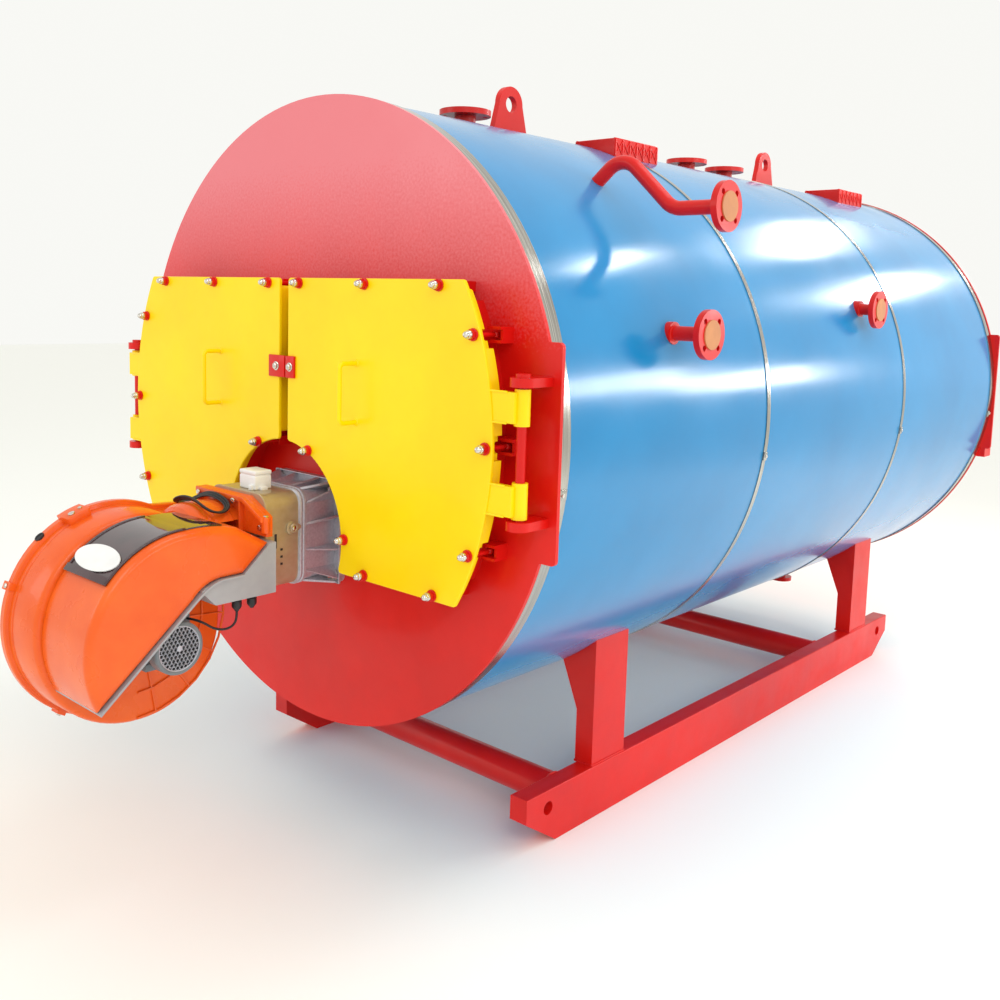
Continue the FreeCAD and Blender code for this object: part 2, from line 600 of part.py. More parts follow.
def badge():
    """Plain oval plate at the lower end of the smoked cover."""
    angle = math.radians(BADGE_ANGLE)
    out = HOOD_R + WINDOW_GAP + WINDOW_T + BADGE_GAP
    centre = Vector(BADGE_X, HOOD_Y + out * math.cos(angle), AXIS_Z + HOOD_Z + out * math.sin(angle))
    outline = Part.Ellipse(Vector(0, 0, 0), BADGE_W / 2, BADGE_H / 2).toShape()
    plate = Part.Face(Part.Wire(outline)).extrude(Vector(0, 0, BADGE_T))
    plate.Placement = FreeCAD.Placement(centre, FreeCAD.Rotation(X, BADGE_ANGLE - 90))
    return plate


def burner_panel():
    """Grey sheet body between the hood's tail and the head."""
    outline = ((HEAD_Y - 0.3, -337), (-311, -337.5), (-400, -415.5), (-470, -416.5),
               (-538, -436), (-538, -444), (-494, -488), (HEAD_Y - 0.3, -488))
    return side_profile(outline, HOOD_X0, HOOD_X1 - 4).cut(side_profile(hood_outline(), HOOD_X0 - 1, HOOD_X1))


def collar():
    """Hinge bracket between the outlet and the head."""
    outline = ((-470, -166), (-330, -176), (-252, -254), (-252, -310), (-308, -310), (-308, -250),
               (-350, -214), (-470, -196))
    body = side_profile(outline, -150, 152)
    tool = Part.makeCompound([burner_head(), hood(), burner_panel(), fan_casing()])
    return body.cut(tool)


def control_box():
    """Small white junction box on top of the head."""
    top = BURNER_DROP + HEAD_H / 2
    body = box(-60, 0, -240, -162, top, top + 62)
    return body.makeFillet(5.0, edges_along(body, Z) + edges_on(body, "Z", AXIS_Z + top + 62))


def motor():
    """Fan motor with a terminal box underneath its front."""
    body = rod(FAN_X1, MOTOR_Y, MOTOR_Z, MOTOR_R, MOTOR_X1 - 16 - FAN_X1, X)
    feet = box(0, 70, MOTOR_Y - 40, MOTOR_Y + 40, MOTOR_Z - MOTOR_R - 14, MOTOR_Z)
    return union([body, feet])


def motor_cover():
    """Fan cover on the end of the motor."""
    cover = rod(MOTOR_X1 - 16, MOTOR_Y, MOTOR_Z, MOTOR_R + 2, 16, X)
    return cover.makeFillet(7.0, edges_on(cover, "X", MOTOR_X1))


def glands():
    """Cable glands under the grey sheet body."""
    return [rod(150, y, -488 - 46, 15, 46, Z) for y in (-394, -342)]





def build():
    """Every piece by its node name."""
    barrel_end = BARREL_L - PLATE_T
    right_rail = skid_rail()
    posts = [post(y) for y in POST_Y]
    steam_pipe = gauge_pipe()
    nozzles = low_nozzles()
    sheet, body, grip, arms = door_sheet(), door_body(), handle(), door_hinges()
    bolts = door_bolts()
    nodes = {
        "front_plate": end_plate(0),
        "rear_plate": end_plate(barrel_end),
        "trim_front": trim_ring(PLATE_T, PLATE_T + TRIM_W),
        "trim_rear": trim_ring(barrel_end - TRIM_W, barrel_end),
        "cladding_bands": bands(),
        "skid_right": right_rail,
        "skid_left": mirrored(right_rail),
        "posts_right": Part.makeCompound(posts),
        "posts_left": Part.makeCompound([mirrored(item) for item in posts]),
        "cross_pipes": cross_pipes(),
        "lifting_lugs": Part.makeCompound([lifting_lug(y) for y in LUG_Y]),
        "top_nozzles": top_nozzles(),
        "top_treads": treads(),
        "gauge_pipe_right": steam_pipe,
        "gauge_pipe_left": mirrored(steam_pipe),
        "side_nozzles_right": nozzles,
        "side_nozzles_left": mirrored(nozzles),
        "flange_covers": flange_covers(),
        "drain_branch": drain(),
        "rear_cover": rear_cover(),
        "rear_hinges": rear_hinges(),
        "smoke_box": smoke_box(),
        "bolt_clevises": clevises(),
        "hinge_lugs": hinge_lugs(),
        "hinge_pins": hinge_pins(),
        "door_right_sheet": sheet,
        "door_right_body": body,
        "door_right_handle": grip,
        "door_right_hinges": arms,
        "door_right_bolts": Part.makeCompound(bolts + [latch(DOOR_GAP / 2 - 2, 62)]),
        "door_left_sheet": mirrored(sheet),
        "door_left_body": mirrored(body),
        "door_left_handle": mirrored(grip),
        "door_left_hinges": mirrored(arms),
        "door_left_bolts": Part.makeCompound([mirrored(bolt) for bolt in bolts] + [latch(-66, 14)]),
        "burner_flange": burner_flange(),
        "burner_head": burner_head(),
        "burner_fan_casing": fan_casing(),
        "burner_hood": hood(),
        "hood_window": hood_window(),
        "hood_badge": badge(),
        "burner_panel": burner_panel(),
        "burner_collar": collar(),
        "control_box": control_box(),
        "burner_motor": motor(),
        "motor_fan_cover": motor_cover(),
        "cable_glands": Part.makeCompound(glands()),
    }
    nodes.update(cladding())
    return nodes


def put(name, shape):
    """Writes one piece, with the origin at the middle of the footprint."""
    moved = shape.copy()
    moved.translate(Vector(0, -Y_MID, 0))
    moved.exportStep(os.path.join("parts", name + ".step"))
    box_ = moved.BoundBox
    print("%-20s solids %2d valid %s  x %.0f..%.0f y %.0f..%.0f z %.0f..%.0f" % (
        name, len(moved.Solids), moved.isValid(), box_.XMin, box_.XMax, box_.YMin, box_.YMax,
        box_.ZMin, box_.ZMax))


os.makedirs("parts", exist_ok=True)
for node_name, node_shape in build().items():
    put(node_name, node_shape)
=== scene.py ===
import bpy
import bmesh
import json
import math
from mathutils import Matrix, Vector

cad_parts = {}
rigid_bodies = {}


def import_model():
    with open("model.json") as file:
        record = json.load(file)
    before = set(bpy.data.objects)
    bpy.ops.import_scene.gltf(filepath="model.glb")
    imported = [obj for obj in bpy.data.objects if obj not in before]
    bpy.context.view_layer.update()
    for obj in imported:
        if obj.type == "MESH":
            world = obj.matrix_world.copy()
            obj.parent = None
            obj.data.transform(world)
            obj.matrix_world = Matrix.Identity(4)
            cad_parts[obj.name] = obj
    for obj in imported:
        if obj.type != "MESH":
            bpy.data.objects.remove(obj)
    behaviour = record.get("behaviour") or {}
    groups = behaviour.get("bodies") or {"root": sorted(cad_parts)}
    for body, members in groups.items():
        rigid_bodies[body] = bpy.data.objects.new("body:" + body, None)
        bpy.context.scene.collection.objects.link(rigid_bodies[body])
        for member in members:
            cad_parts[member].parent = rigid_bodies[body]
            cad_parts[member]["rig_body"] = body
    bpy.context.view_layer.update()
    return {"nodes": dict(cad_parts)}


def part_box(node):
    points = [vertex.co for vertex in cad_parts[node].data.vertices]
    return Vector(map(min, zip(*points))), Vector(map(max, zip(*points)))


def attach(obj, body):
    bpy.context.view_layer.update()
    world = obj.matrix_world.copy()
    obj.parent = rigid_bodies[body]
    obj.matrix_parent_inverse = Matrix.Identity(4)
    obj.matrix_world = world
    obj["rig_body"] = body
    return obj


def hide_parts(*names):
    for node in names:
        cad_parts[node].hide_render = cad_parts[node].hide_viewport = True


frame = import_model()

nodes = frame["nodes"]
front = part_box("front_plate")[0].y            # face of the front plate
axis = (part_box("front_plate")[0].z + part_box("front_plate")[1].z) / 2
cladR = (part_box("cladding_front")[1].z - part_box("cladding_front")[0].z) / 2
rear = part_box("rear_plate")[1].y


def at(x, y, z):
    # millimetres from the face of the front plate and from the boiler's axis
    return Vector((x / 1000, front + y / 1000, axis + z / 1000))


def colour(text):
    # sRGB hex to linear
    parts = [int(text[i:i + 2], 16) / 255 for i in (1, 3, 5)]
    return [c / 12.92 if c <= 0.04045 else ((c + 0.055) / 1.055) ** 2.4 for c in parts] + [1.0]


def addNode(tree, kind, settings=None, links=None):
    node = tree.nodes.new(kind)
    for name, value in (settings or {}).items():
        if isinstance(name, str) and hasattr(node, name):
            setattr(node, name, value)
        else:
            node.inputs[name].default_value = value
    for name, socket in (links or {}).items():
        tree.links.new(socket, node.inputs[name])
    return node


def ramp(tree, socket, low, high, first, second):
    node = addNode(tree, "ShaderNodeValToRGB", None, {"Fac": socket})
    node.color_ramp.elements[0].position, node.color_ramp.elements[1].position = low, high
    node.color_ramp.elements[0].color, node.color_ramp.elements[1].color = first, second
    return node.outputs["Color"]


def grey(value):
    return [value, value, value, 1.0]


def newMaterial(name, uniform):
    material = bpy.data.materials.new(name)
    material.use_nodes = True
    shader = material.node_tree.nodes["Principled BSDF"]
    for socket, value in uniform.items():
        shader.inputs[socket].default_value = value
    return material, material.node_tree, shader


def addNoise(tree, place, scale, detail):
    return addNode(tree, "ShaderNodeTexNoise", {"Scale": scale, "Detail": detail}, {"Vector": place}).outputs["Fac"]


def addTones(tree, socket, stops, look):
    return ramp(tree, socket, *stops, colour(look["dark"]), colour(look["light"]))


def linkRough(tree, shader, socket, stops, rough):
    tree.links.new(ramp(tree, socket, *stops, grey(rough[0]), grey(rough[1])), shader.inputs["Roughness"])


def addBump(tree, strength, distance, links):
    return addNode(tree, "ShaderNodeBump", {"Strength": strength, "Distance": distance}, links).outputs["Normal"]


# what a finish has when it says nothing else, and where its ramps start and end
usual = {"shine": 0.3, "coat": 0.0, "coatRough": 0.08, "cloud": 2.2, "smear": 9.0, "metallic": 1.0, "clear": 0.0}
stops = {"paintTone": (0.35, 0.68), "paintWear": (0.3, 0.7), "metalTone": (0.3, 0.7), "metalRough": (0.35, 0.65),
         "plasticCloud": (0.3, 0.7)}
coating = {"index": 1.5, "paintDeep": 0.001, "swell": 0.35, "plasticDeep": 0.0006, "mottle": 14.0,
            "speck": 120.0, "speckShare": 0.35}


def paint(name, look):
    # two near tones in slow clouds, roughness that wanders, fine texture of the sprayed coat
    look = {**usual, **look}
    material, tree, shader = newMaterial(name, {
        "IOR": coating["index"], "Specular IOR Level": look["shine"], "Coat Weight": look["coat"],
        "Coat Roughness": look["coatRough"]})
    place = addNode(tree, "ShaderNodeTexCoord").outputs["Object"]
    cloud = addNode(tree, "ShaderNodeTexNoise", {"Scale": look["cloud"], "Detail": 5.0, "Roughness": 0.6},
                    {"Vector": place}).outputs["Fac"]
    tone = addTones(tree, cloud, stops["paintTone"], look)
    linkRough(tree, shader, addNoise(tree, place, look["smear"], 6.0), stops["paintWear"], look["rough"])
    normal = addBump(tree, look["bump"], coating["paintDeep"], {"Height": addNoise(tree, place, look["grain"], 2.0)})
    if "wave" in look:                        # the sheet itself isn't flat, so long reflections wander
        normal = addBump(tree, coating["swell"], look["waveDeep"],
                         {"Height": addNoise(tree, place, look["wave"], 1.0), "Normal": normal})
    tree.links.new(normal, shader.inputs["Normal"])
    if "chalkAndSheen" in look:                        # painted sheen and chalky bloom: paler towards the top, as where light from above falls, with fine specks
        low, high, most = look["chalkAndSheen"]
        rise = addNode(tree, "ShaderNodeSeparateXYZ", None, {"Vector": place}).outputs["Z"]
        mixed = addNode(tree, "ShaderNodeMath", {"operation": "MULTIPLY_ADD", 1: coating["speckShare"]},
                        {0: addNoise(tree, place, coating["speck"], 3.0), 2: rise}).outputs[0]
        share = addNode(tree, "ShaderNodeMapRange", {"From Min": low, "From Max": high}, {"Value": mixed})
        amount = ramp(tree, share.outputs[0], 0.0, 1.0, grey(0.0), grey(most))
        blend = addNode(tree, "ShaderNodeMix", {"data_type": "RGBA"}, {0: amount, 6: tone})
        blend.inputs[7].default_value = colour(look["pale"])
        tone = blend.outputs[2]
    tree.links.new(tone, shader.inputs["Base Color"])
    return material


def metal(name, look):
    # the stretch of the noise gives the direction of the brush or the grain of the casting
    look = {**usual, **look}
    material, tree, shader = newMaterial(name, {"Metallic": look["metallic"]})
    place = addNode(tree, "ShaderNodeTexCoord").outputs["Object"]
    along = addNode(tree, "ShaderNodeMapping", {"Scale": look["stretch"]}, {"Vector": place}).outputs["Vector"]
    grain = addNoise(tree, along, 1.0, 3.0)
    tree.links.new(addTones(tree, grain, stops["metalTone"], look), shader.inputs["Base Color"])
    linkRough(tree, shader, grain, stops["metalRough"], look["rough"])
    tree.links.new(addBump(tree, look["bump"], coating["paintDeep"], {"Height": grain}), shader.inputs["Normal"])
    return material


def plastic(name, look):
    # a faint mottle of two tones over the spark-eroded skin of a mould
    look = {**usual, **look}
    material, tree, shader = newMaterial(name, {"IOR": coating["index"], "Transmission Weight": look["clear"],
                                                "Coat Weight": look["coat"]})
    place = addNode(tree, "ShaderNodeTexCoord").outputs["Object"]
    spark = addNode(tree, "ShaderNodeTexVoronoi", {"Scale": look["grain"]}, {"Vector": place}).outputs["Distance"]
    cloud = addNoise(tree, place, coating["mottle"], 4.0)
    tree.links.new(addTones(tree, cloud, stops["plasticCloud"], look), shader.inputs["Base Color"])
    linkRough(tree, shader, cloud, stops["plasticCloud"], look["rough"])
    tree.links.new(addBump(tree, look["bump"], coating["plasticDeep"], {"Height": spark}), shader.inputs["Normal"])
    return material


# Sprayed and oven-dried coats: a colour, a soft gloss, and the dimpled skin of spray paint.
# That skin is a millimetre or two on the real sheets, and is drawn at 4 to 8 mm so that it shows.
finishes = {
    # gloss alkyd enamel on mild steel: thick, wet-looking, brush and spray marks
    "red_enamel": paint("redAlkydEnamel", {"light": "#e2160c", "dark": "#cc0c08", "rough": (0.28, 0.45),
                        "grain": 160.0, "bump": 0.22, "coat": 0.12}),
    # the same enamel in yellow: bright and even, with softer gloss on the flat leaves
    "yellow_enamel": paint("yellowAlkydEnamel", {"light": "#ffe000", "dark": "#fcd400", "rough": (0.3, 0.45),
                           "grain": 150.0, "bump": 0.15, "coat": 0.1, "wave": 1.5, "waveDeep": 0.004}),
    # coil-coated galvanised sheet: hard gloss over slightly rippled metal
    "blue_sheet": paint("blueCoilCoatedSheet", {"light": "#008ac6", "dark": "#007bb4", "rough": (0.16, 0.26),
                        "grain": 45.0, "bump": 0.015, "shine": 0.4, "coat": 0.3, "coatRough": 0.12, "cloud": 1.1,
                        "smear": 4.0, "wave": 2.2, "waveDeep": 0.004}),
    # epoxy powder coat on a die casting: satin and finely pebbled
    "burner_orange": paint("orangePowderCoat", {"light": "#f0661a", "dark": "#e65810", "rough": (0.24, 0.36),
                           "grain": 420.0, "bump": 0.12, "coat": 0.25, "cloud": 6.0}),
    # grey powder coat on sheet: duller, even
    "grey_sheet": paint("greyPowderCoat", {"light": "#a9a9ad", "dark": "#9c9ca1", "rough": (0.42, 0.55),
                        "grain": 500.0, "bump": 0.12, "cloud": 8.0}),
    # machine enamel over a ribbed casting: blue-grey and a little oily
    "motor_grey": paint("motorEnamel", {"light": "#7d8388", "dark": "#6a7075", "rough": (0.35, 0.5),
                        "grain": 380.0, "bump": 0.2, "cloud": 12.0}),
    # bright rolled strip: long fine lines that run round the barrel, mirror-like across them
    "stainless": metal("rolledStainlessStrip", {"light": "#c6c3bb", "dark": "#8f8c84", "rough": (0.12, 0.24),
                       "stretch": (3.0, 420.0, 3.0), "bump": 0.04}),
    # nickel-plated turned nuts: smooth and bright with faint tool rings
    "cap_nut": metal("nickelPlatedSteel", {"light": "#e8e4dc", "dark": "#bdb8ae", "rough": (0.12, 0.24),
                     "stretch": (90.0, 700.0, 90.0), "bump": 0.03}),
    # raw die-cast aluminium: dull grey with a grainy skin
    "cast_aluminium": metal("rawCastAluminium", {"light": "#c4c4cc", "dark": "#aeaeb8", "rough": (0.36, 0.52),
                            "stretch": (130.0, 130.0, 130.0), "bump": 0.2, "metallic": 0.6}),
    # metallic lacquer: warm beige with a soft metallic sheen
    "champagne": metal("champagneLacquer", {"light": "#b8a688", "dark": "#b09d7e", "rough": (0.28, 0.36),
                       "stretch": (60.0, 40.0, 60.0), "bump": 0.03, "metallic": 0.5}),
    # pressed fibre blanks: brown, dry and slightly mottled
    "blank_disc": plastic("pressedFibre", {"light": "#d08d5c", "dark": "#b97546", "rough": (0.5, 0.7),
                          "grain": 700.0, "bump": 0.3}),
    # tinted polycarbonate: dark, wet gloss that lets a little through
    "smoked": plastic("smokedPolycarbonate", {"light": "#57343a", "dark": "#3a2026", "rough": (0.05, 0.1),
                      "grain": 40.0, "bump": 0.01, "clear": 0.35, "coat": 0.6}),
    # moulded ABS: off-white, fine spark-eroded skin
    "white_plastic": plastic("whiteMouldedAbs", {"light": "#f2f2f0", "dark": "#e6e6e4", "rough": (0.3, 0.42),
                             "grain": 900.0, "bump": 0.12}),
    # polyamide and cable sheath: black with a grey bloom
    "black_plastic": plastic("blackPolyamide", {"light": "#26262a", "dark": "#131316", "rough": (0.38, 0.55),
                             "grain": 800.0, "bump": 0.2}),
}
# the big front plate: a painted sheen of the light from above, with chalking, makes it paler above the doors
frontRed = paint("chalkedAndSheenPaintedRedEnamel", {"light": "#e2160c", "dark": "#cf0e08", "rough": (0.28, 0.45),
                 "grain": 150.0, "bump": 0.22, "coat": 0.12, "chalkAndSheen": (axis + 0.45, axis + 0.95, 0.95),
                 "pale": "#e47c84"})

for name, piece in nodes.items():
    for holder in piece.material_slots:
        holder.material = finishes[holder.material.name.split(".")[0]]
for holder in nodes["front_plate"].material_slots:
    holder.material = frontRed
print("materials set on", len(nodes), "frame pieces")


def newPiece(name, mesh, slot, body="boiler", replaces=(), sharp=35, finish=None):
    bmesh.ops.remove_doubles(mesh, verts=mesh.verts, dist=0.00001)
    bmesh.ops.recalc_face_normals(mesh, faces=mesh.faces)
    data = bpy.data.meshes.new(name)
    mesh.to_mesh(data)
    mesh.free()
    piece = bpy.data.objects.new(name, data)
    bpy.context.scene.collection.objects.link(piece)
    data.materials.append(finish or finishes[slot])
    data.shade_smooth()
    data.set_sharp_from_angle(angle=math.radians(sharp))
    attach(piece, body)
    if replaces:
        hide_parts(*replaces)


# from here on every length is in millimetres, and at() or these functions turn it into metres

def bevelEdges(mesh, edges, width, steps=2):
    bmesh.ops.bevel(mesh, geom=list(edges), offset=width / 1000, offset_type="OFFSET", affect="EDGES",
                    segments=steps, profile=0.5, material=-1, clamp_overlap=True)


def bevelRim(mesh, rim, width):
    # rounds the edges that join the points of one face
    if width:
        bevelEdges(mesh, {edge for vert in rim for edge in vert.link_edges if edge.other_vert(vert) in rim}, width)


def addBlock(mesh, low, high, bevel=0.0, steps=2):
    made = bmesh.ops.create_cube(mesh, size=1.0)["verts"]
    low, high = Vector(low), Vector(high)
    bmesh.ops.scale(mesh, vec=high - low, verts=made)
    bmesh.ops.translate(mesh, vec=(low + high) / 2, verts=made)
    if bevel:
        bevelEdges(mesh, {edge for vert in made for edge in vert.link_edges}, bevel, steps)


def addBlocks(mesh, blocks):
    # each with its low corner, high corner, bevel and steps
    for low, high, bevel, steps in blocks:
        addBlock(mesh, at(*low), at(*high), bevel, steps)


def turnAndPlace(mesh, verts, direction, degrees, place):
    turn = Matrix.Rotation(math.radians(degrees), 3, direction)
    bmesh.ops.rotate(mesh, cent=(0, 0, 0), matrix=turn, verts=verts)
    bmesh.ops.translate(mesh, vec=place, verts=verts)


def addTurned(mesh, size, direction, degrees, place, offset=(0, 0, 0)):
    # a bar made beside the origin, turned about one axis and then put in place
    made = bmesh.ops.create_cube(mesh, size=1.0)["verts"]
    bmesh.ops.scale(mesh, vec=Vector(size) / 1000, verts=made)
    bmesh.ops.translate(mesh, vec=Vector(offset) / 1000, verts=made)
    turnAndPlace(mesh, made, direction, degrees, place)


def settle(mesh, direction, degrees, place, within=30):
    # what has just been made still lies at the world's origin: it's turned and put in place
    loose = [vert for vert in mesh.verts if vert.co.length < within / 1000]
    turnAndPlace(mesh, loose, direction, degrees, place)


origin = Vector((0, 0, 0))
turns = {"x": Matrix.Rotation(math.radians(90), 4, "Y"), "y": Matrix.Rotation(math.radians(90), 4, "X"),
         "z": Matrix.Identity(4)}


def addDisc(mesh, centre, direction, radius, depth, sides=32, bevel=0.0):
    # a disc or bar about one axis, with its rims rounded
    made = bmesh.ops.create_cone(mesh, cap_ends=True, segments=sides, radius1=radius / 1000, radius2=radius / 1000,
                                 depth=depth / 1000, matrix=Matrix.Translation(centre) @ turns[direction])["verts"]
    if bevel:
        rims = {edge for vert in made for edge in vert.link_edges if abs(edge.calc_face_angle(0.0)) > 0.6
                and sum(len(face.verts) for face in edge.link_faces) > 8}
        bevelEdges(mesh, rims, bevel)


def addStack(mesh, x, y, z, layers):
    # washers, nuts and studs: each layer's place along y, radius, depth, sides and bevel
    for offset, radius, depth, sides, bevel in layers:
        addDisc(mesh, at(x, y + offset, z), "y", radius, depth, sides, bevel)


def addLathe(mesh, centre, direction, profile, sides=32):
    # profile of (radius, height) turned once about the axis
    points = [mesh.verts.new((radius / 1000, 0, height / 1000)) for radius, height in profile]
    line = [mesh.edges.new(pair) for pair in zip(points, points[1:])]
    bmesh.ops.spin(mesh, geom=points + line, cent=(0, 0, 0), axis=(0, 0, 1), dvec=(0, 0, 0),
                   angle=math.tau, steps=sides, use_merge=True, use_duplicate=False)
    grown, edge = set(points), points
    while edge:                               # everything joined to the profile belongs to it
        edge = {other for vert in edge for link in vert.link_edges for other in link.verts if other not in grown}
        grown |= edge
    bmesh.ops.transform(mesh, matrix=Matrix.Translation(centre) @ turns[direction], verts=list(grown))


def addRing(mesh, centre, direction, radius, wire, sides=32):
    # a weld bead or wire hoop about an axis
    profile = [(radius + wire * math.cos(step * math.tau / 8), wire * math.sin(step * math.tau / 8))
               for step in range(9)]
    addLathe(mesh, centre, direction, profile, sides)


def extrude(mesh, faces, reach):
    grown = bmesh.ops.extrude_face_region(mesh, geom=faces)["geom"]
    moved = [item for item in grown if isinstance(item, bmesh.types.BMVert)]
    bmesh.ops.translate(mesh, vec=Vector(reach) / 1000, verts=moved)
    return moved


def addPlate(mesh, outline, x0, x1, bevel=0.0):
    # outline of (y, z) drawn out across from x0 to x1, rounded at x1
    base = [mesh.verts.new(at(x0, y, z)) for y, z in outline]
    bevelRim(mesh, extrude(mesh, [mesh.faces.new(base)], (x1 - x0, 0, 0)), bevel)


def addDrawn(mesh, outline, y0, y1, bevel=0.0):
    # outline of (x, z) drawn out back from y0 to y1, rounded at y0
    base = [mesh.verts.new(at(x, y0, z)) for x, z in outline]
    extrude(mesh, [mesh.faces.new(base)], (0, y1 - y0, 0))
    bevelRim(mesh, base, bevel)


def addLoops(mesh, loops):
    # bridges rings of points one after another and closes both ends
    rings = []
    for loop in loops:
        verts = [mesh.verts.new(point) for point in loop]
        rings.append([mesh.edges.new((a, b)) for a, b in zip(verts, verts[1:] + verts[:1])])
    for a, b in zip(rings, rings[1:]):
        bmesh.ops.bridge_loops(mesh, edges=a + b)
    for ring in (rings[0], rings[-1]):
        bmesh.ops.contextual_create(mesh, geom=ring)


def circlePoints(y, z, radius, first, last, count):
    angles = [math.radians(first + (last - first) * step / count) for step in range(count + 1)]
    return [(y + radius * math.cos(angle), z + radius * math.sin(angle)) for angle in angles]


def arcBand(y, z, inner, outer, first, last, count):
    return circlePoints(y, z, outer, first, last, count) + circlePoints(y, z, inner, last, first, count)


def onCircle(x, y, z, radius, turn):
    # a point on a circle that faces sideways, the turn measured from the back and over the top
    return at(x, y + radius * math.cos(math.radians(turn)), z + radius * math.sin(math.radians(turn)))


def polar(turn, radius):
    # x and z on a circle about the boiler's axis, the turn measured from the top towards the right
    return radius * math.sin(math.radians(turn)), radius * math.cos(math.radians(turn))


def flipSide(mesh):
    # the same shapes on the left side
    bmesh.ops.scale(mesh, vec=(-1, 1, 1), verts=mesh.verts)
    bmesh.ops.reverse_faces(mesh, faces=mesh.faces)


# the two door leaves: swing bolts, latch, welds and what lies behind the sheet

burner = {"axis": -355, "half": (140, 145)}   # the head's axis, and half its width and height

leaf = {
    "face": -120, "places": [(78, 419), (377, 419), (676, 419), (806, 293), (858, 0), (806, -293),
                             (676, -429), (392, -429), (302, -338), (128, -90)],
    "sideways": (3, 4, 5),                    # these bolts swing out sideways
    "foot": -30, "rod": (6, 16), "pin": (9.8, 13, 20, 1),
    "washer": (17, 6, 24, 1.2), "hex": (14.5, 11, 6, 0)}
nut = {"radius": 12, "skirt": 7, "dome": 10.2, "domeFrom": 9, "rise": 1.25, "sides": 18}


def boltNuts():
    # closed nuts: chamfered skirt, waist, and a round dome
    mesh = bmesh.new()
    start = leaf["face"] - leaf["washer"][1] - leaf["hex"][1]
    profile = [(0, 0), (nut["radius"], 0), (nut["radius"], nut["skirt"]), (nut["dome"] + 0.4, nut["domeFrom"])]
    for angle in [math.radians(turn) for turn in range(0, 91, 15)]:
        profile.append((nut["dome"] * math.cos(angle), nut["domeFrom"] + nut["dome"] * nut["rise"] * math.sin(angle)))
    for x, z in leaf["places"]:
        addLathe(mesh, at(x, start, z), "y", profile, nut["sides"])
    return mesh


def boltRods():
    mesh = bmesh.new()
    face, foot = leaf["face"], leaf["foot"]
    for count, (x, z) in enumerate(leaf["places"]):
        addDisc(mesh, at(x, (face + foot) / 2, z), "y", leaf["rod"][0], foot - face, leaf["rod"][1])
        stand = face
        for radius, depth, sides, bevel in (leaf["washer"], leaf["hex"]):
            addDisc(mesh, at(x, stand - depth / 2, z), "y", radius, depth, sides, bevel)
            stand -= depth
        addDisc(mesh, at(x, foot - 2, z), "z" if count in leaf["sideways"] else "x", *leaf["pin"])
    return mesh


latch = {"z": (127, 195), "thick": 8, "bevel": 2, "screw": [(-12, 10.5, 8, 6, 0.8), (-9, 14, 2, 20, 0.6)],
         "right": {"x": (20, 62), "screwAt": 42}, "left": {"x": (-66, 14), "screwAt": -26}}


def latchPlate(x0, x1):
    mesh = bmesh.new()
    low, high = latch["z"]
    addBlock(mesh, at(x0, leaf["face"] - latch["thick"], low), at(x1, leaf["face"], high), latch["bevel"])
    return mesh


def latchBolt(x):
    mesh = bmesh.new()
    addStack(mesh, x, leaf["face"], sum(latch["z"]) / 2, latch["screw"])
    return mesh


weld = {"handle": (345, 19, 191), "ring": (8.5, 3.2, 24), "knuckles": (113, -129), "halfKnuckle": 40,
        "x": (826, 924), "y": (-118.5, -114), "half": 3, "bevel": 2}


def handleWelds():
    mesh = bmesh.new()
    x, low, high = weld["handle"]
    for z in (low, high):
        addRing(mesh, at(x, leaf["face"], z), "y", *weld["ring"])
    return mesh


def hingeWelds():
    # beads where the arms meet the knuckles and the edge of the leaf
    mesh = bmesh.new()
    (x0, x1), (y0, y1), half = weld["x"], weld["y"], weld["half"]
    for middle in weld["knuckles"]:
        for z in (middle - weld["halfKnuckle"], middle + weld["halfKnuckle"]):
            addBlock(mesh, at(x0, y0, z - half), at(x1, y1, z + half), weld["bevel"])
    return mesh


# castable refractory: chalky and matt, with a sandy trowelled face
refractory = plastic("castRefractory", {"light": "#a59c8f", "dark": "#877e72", "rough": (0.8, 0.95),
                                        "grain": 260.0, "bump": 0.5})
lining = {"top": [(60, 352), (700, 352)], "rim": (784, 26.7, -27.7), "foot": [(694, -362), (364, -362)],
          "notch": (364, -1, 80), "steps": 14, "y": (-71, -46), "bevel": 5}


def castLining():
    # refractory face behind the leaf, clear of the smoke box walls
    mesh = bmesh.new()
    outline = lining["top"] + circlePoints(0, 0, *lining["rim"], lining["steps"])
    outline += lining["foot"] + circlePoints(0, burner["axis"], *lining["notch"], lining["steps"])
    addDrawn(mesh, outline, *lining["y"], lining["bevel"])
    return mesh


insulated = {"radii": (838, 873), "arcs": ((2.2, 17.2), (-17.2, -2.2)), "steps": 12, "y": (-110, -73), "bevel": 3}


def bodyEdge():
    # the insulated body shows behind the round edge of the sheet, between the side bolts
    mesh = bmesh.new()
    for arc in insulated["arcs"]:
        addDrawn(mesh, arcBand(0, 0, *insulated["radii"], *arc, insulated["steps"]), *insulated["y"],
                 insulated["bevel"])
    return mesh


for side in ("right", "left"):
    body = nodes["door_" + side + "_sheet"]["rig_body"]
    made = [("nuts", boltNuts(), "cap_nut", ("door_" + side + "_bolts",)), ("rods", boltRods(), "red_enamel", ()),
            ("handle_welds", handleWelds(), "yellow_enamel", ()), ("hinge_welds", hingeWelds(), "yellow_enamel", ()),
            ("lining", castLining(), "cast_aluminium", ()), ("body_edge", bodyEdge(), "yellow_enamel", ())]
    for name, mesh, slot, gone in made:
        if side == "left":
            flipSide(mesh)
        newPiece(side + "_door_" + name, mesh, slot, body, gone, finish=refractory if name == "lining" else None)
    newPiece(side + "_door_latch", latchPlate(*latch[side]["x"]), "red_enamel", body)
    newPiece(side + "_door_latch_bolt", latchBolt(latch[side]["screwAt"]), "cap_nut", body)
print("doors dressed")


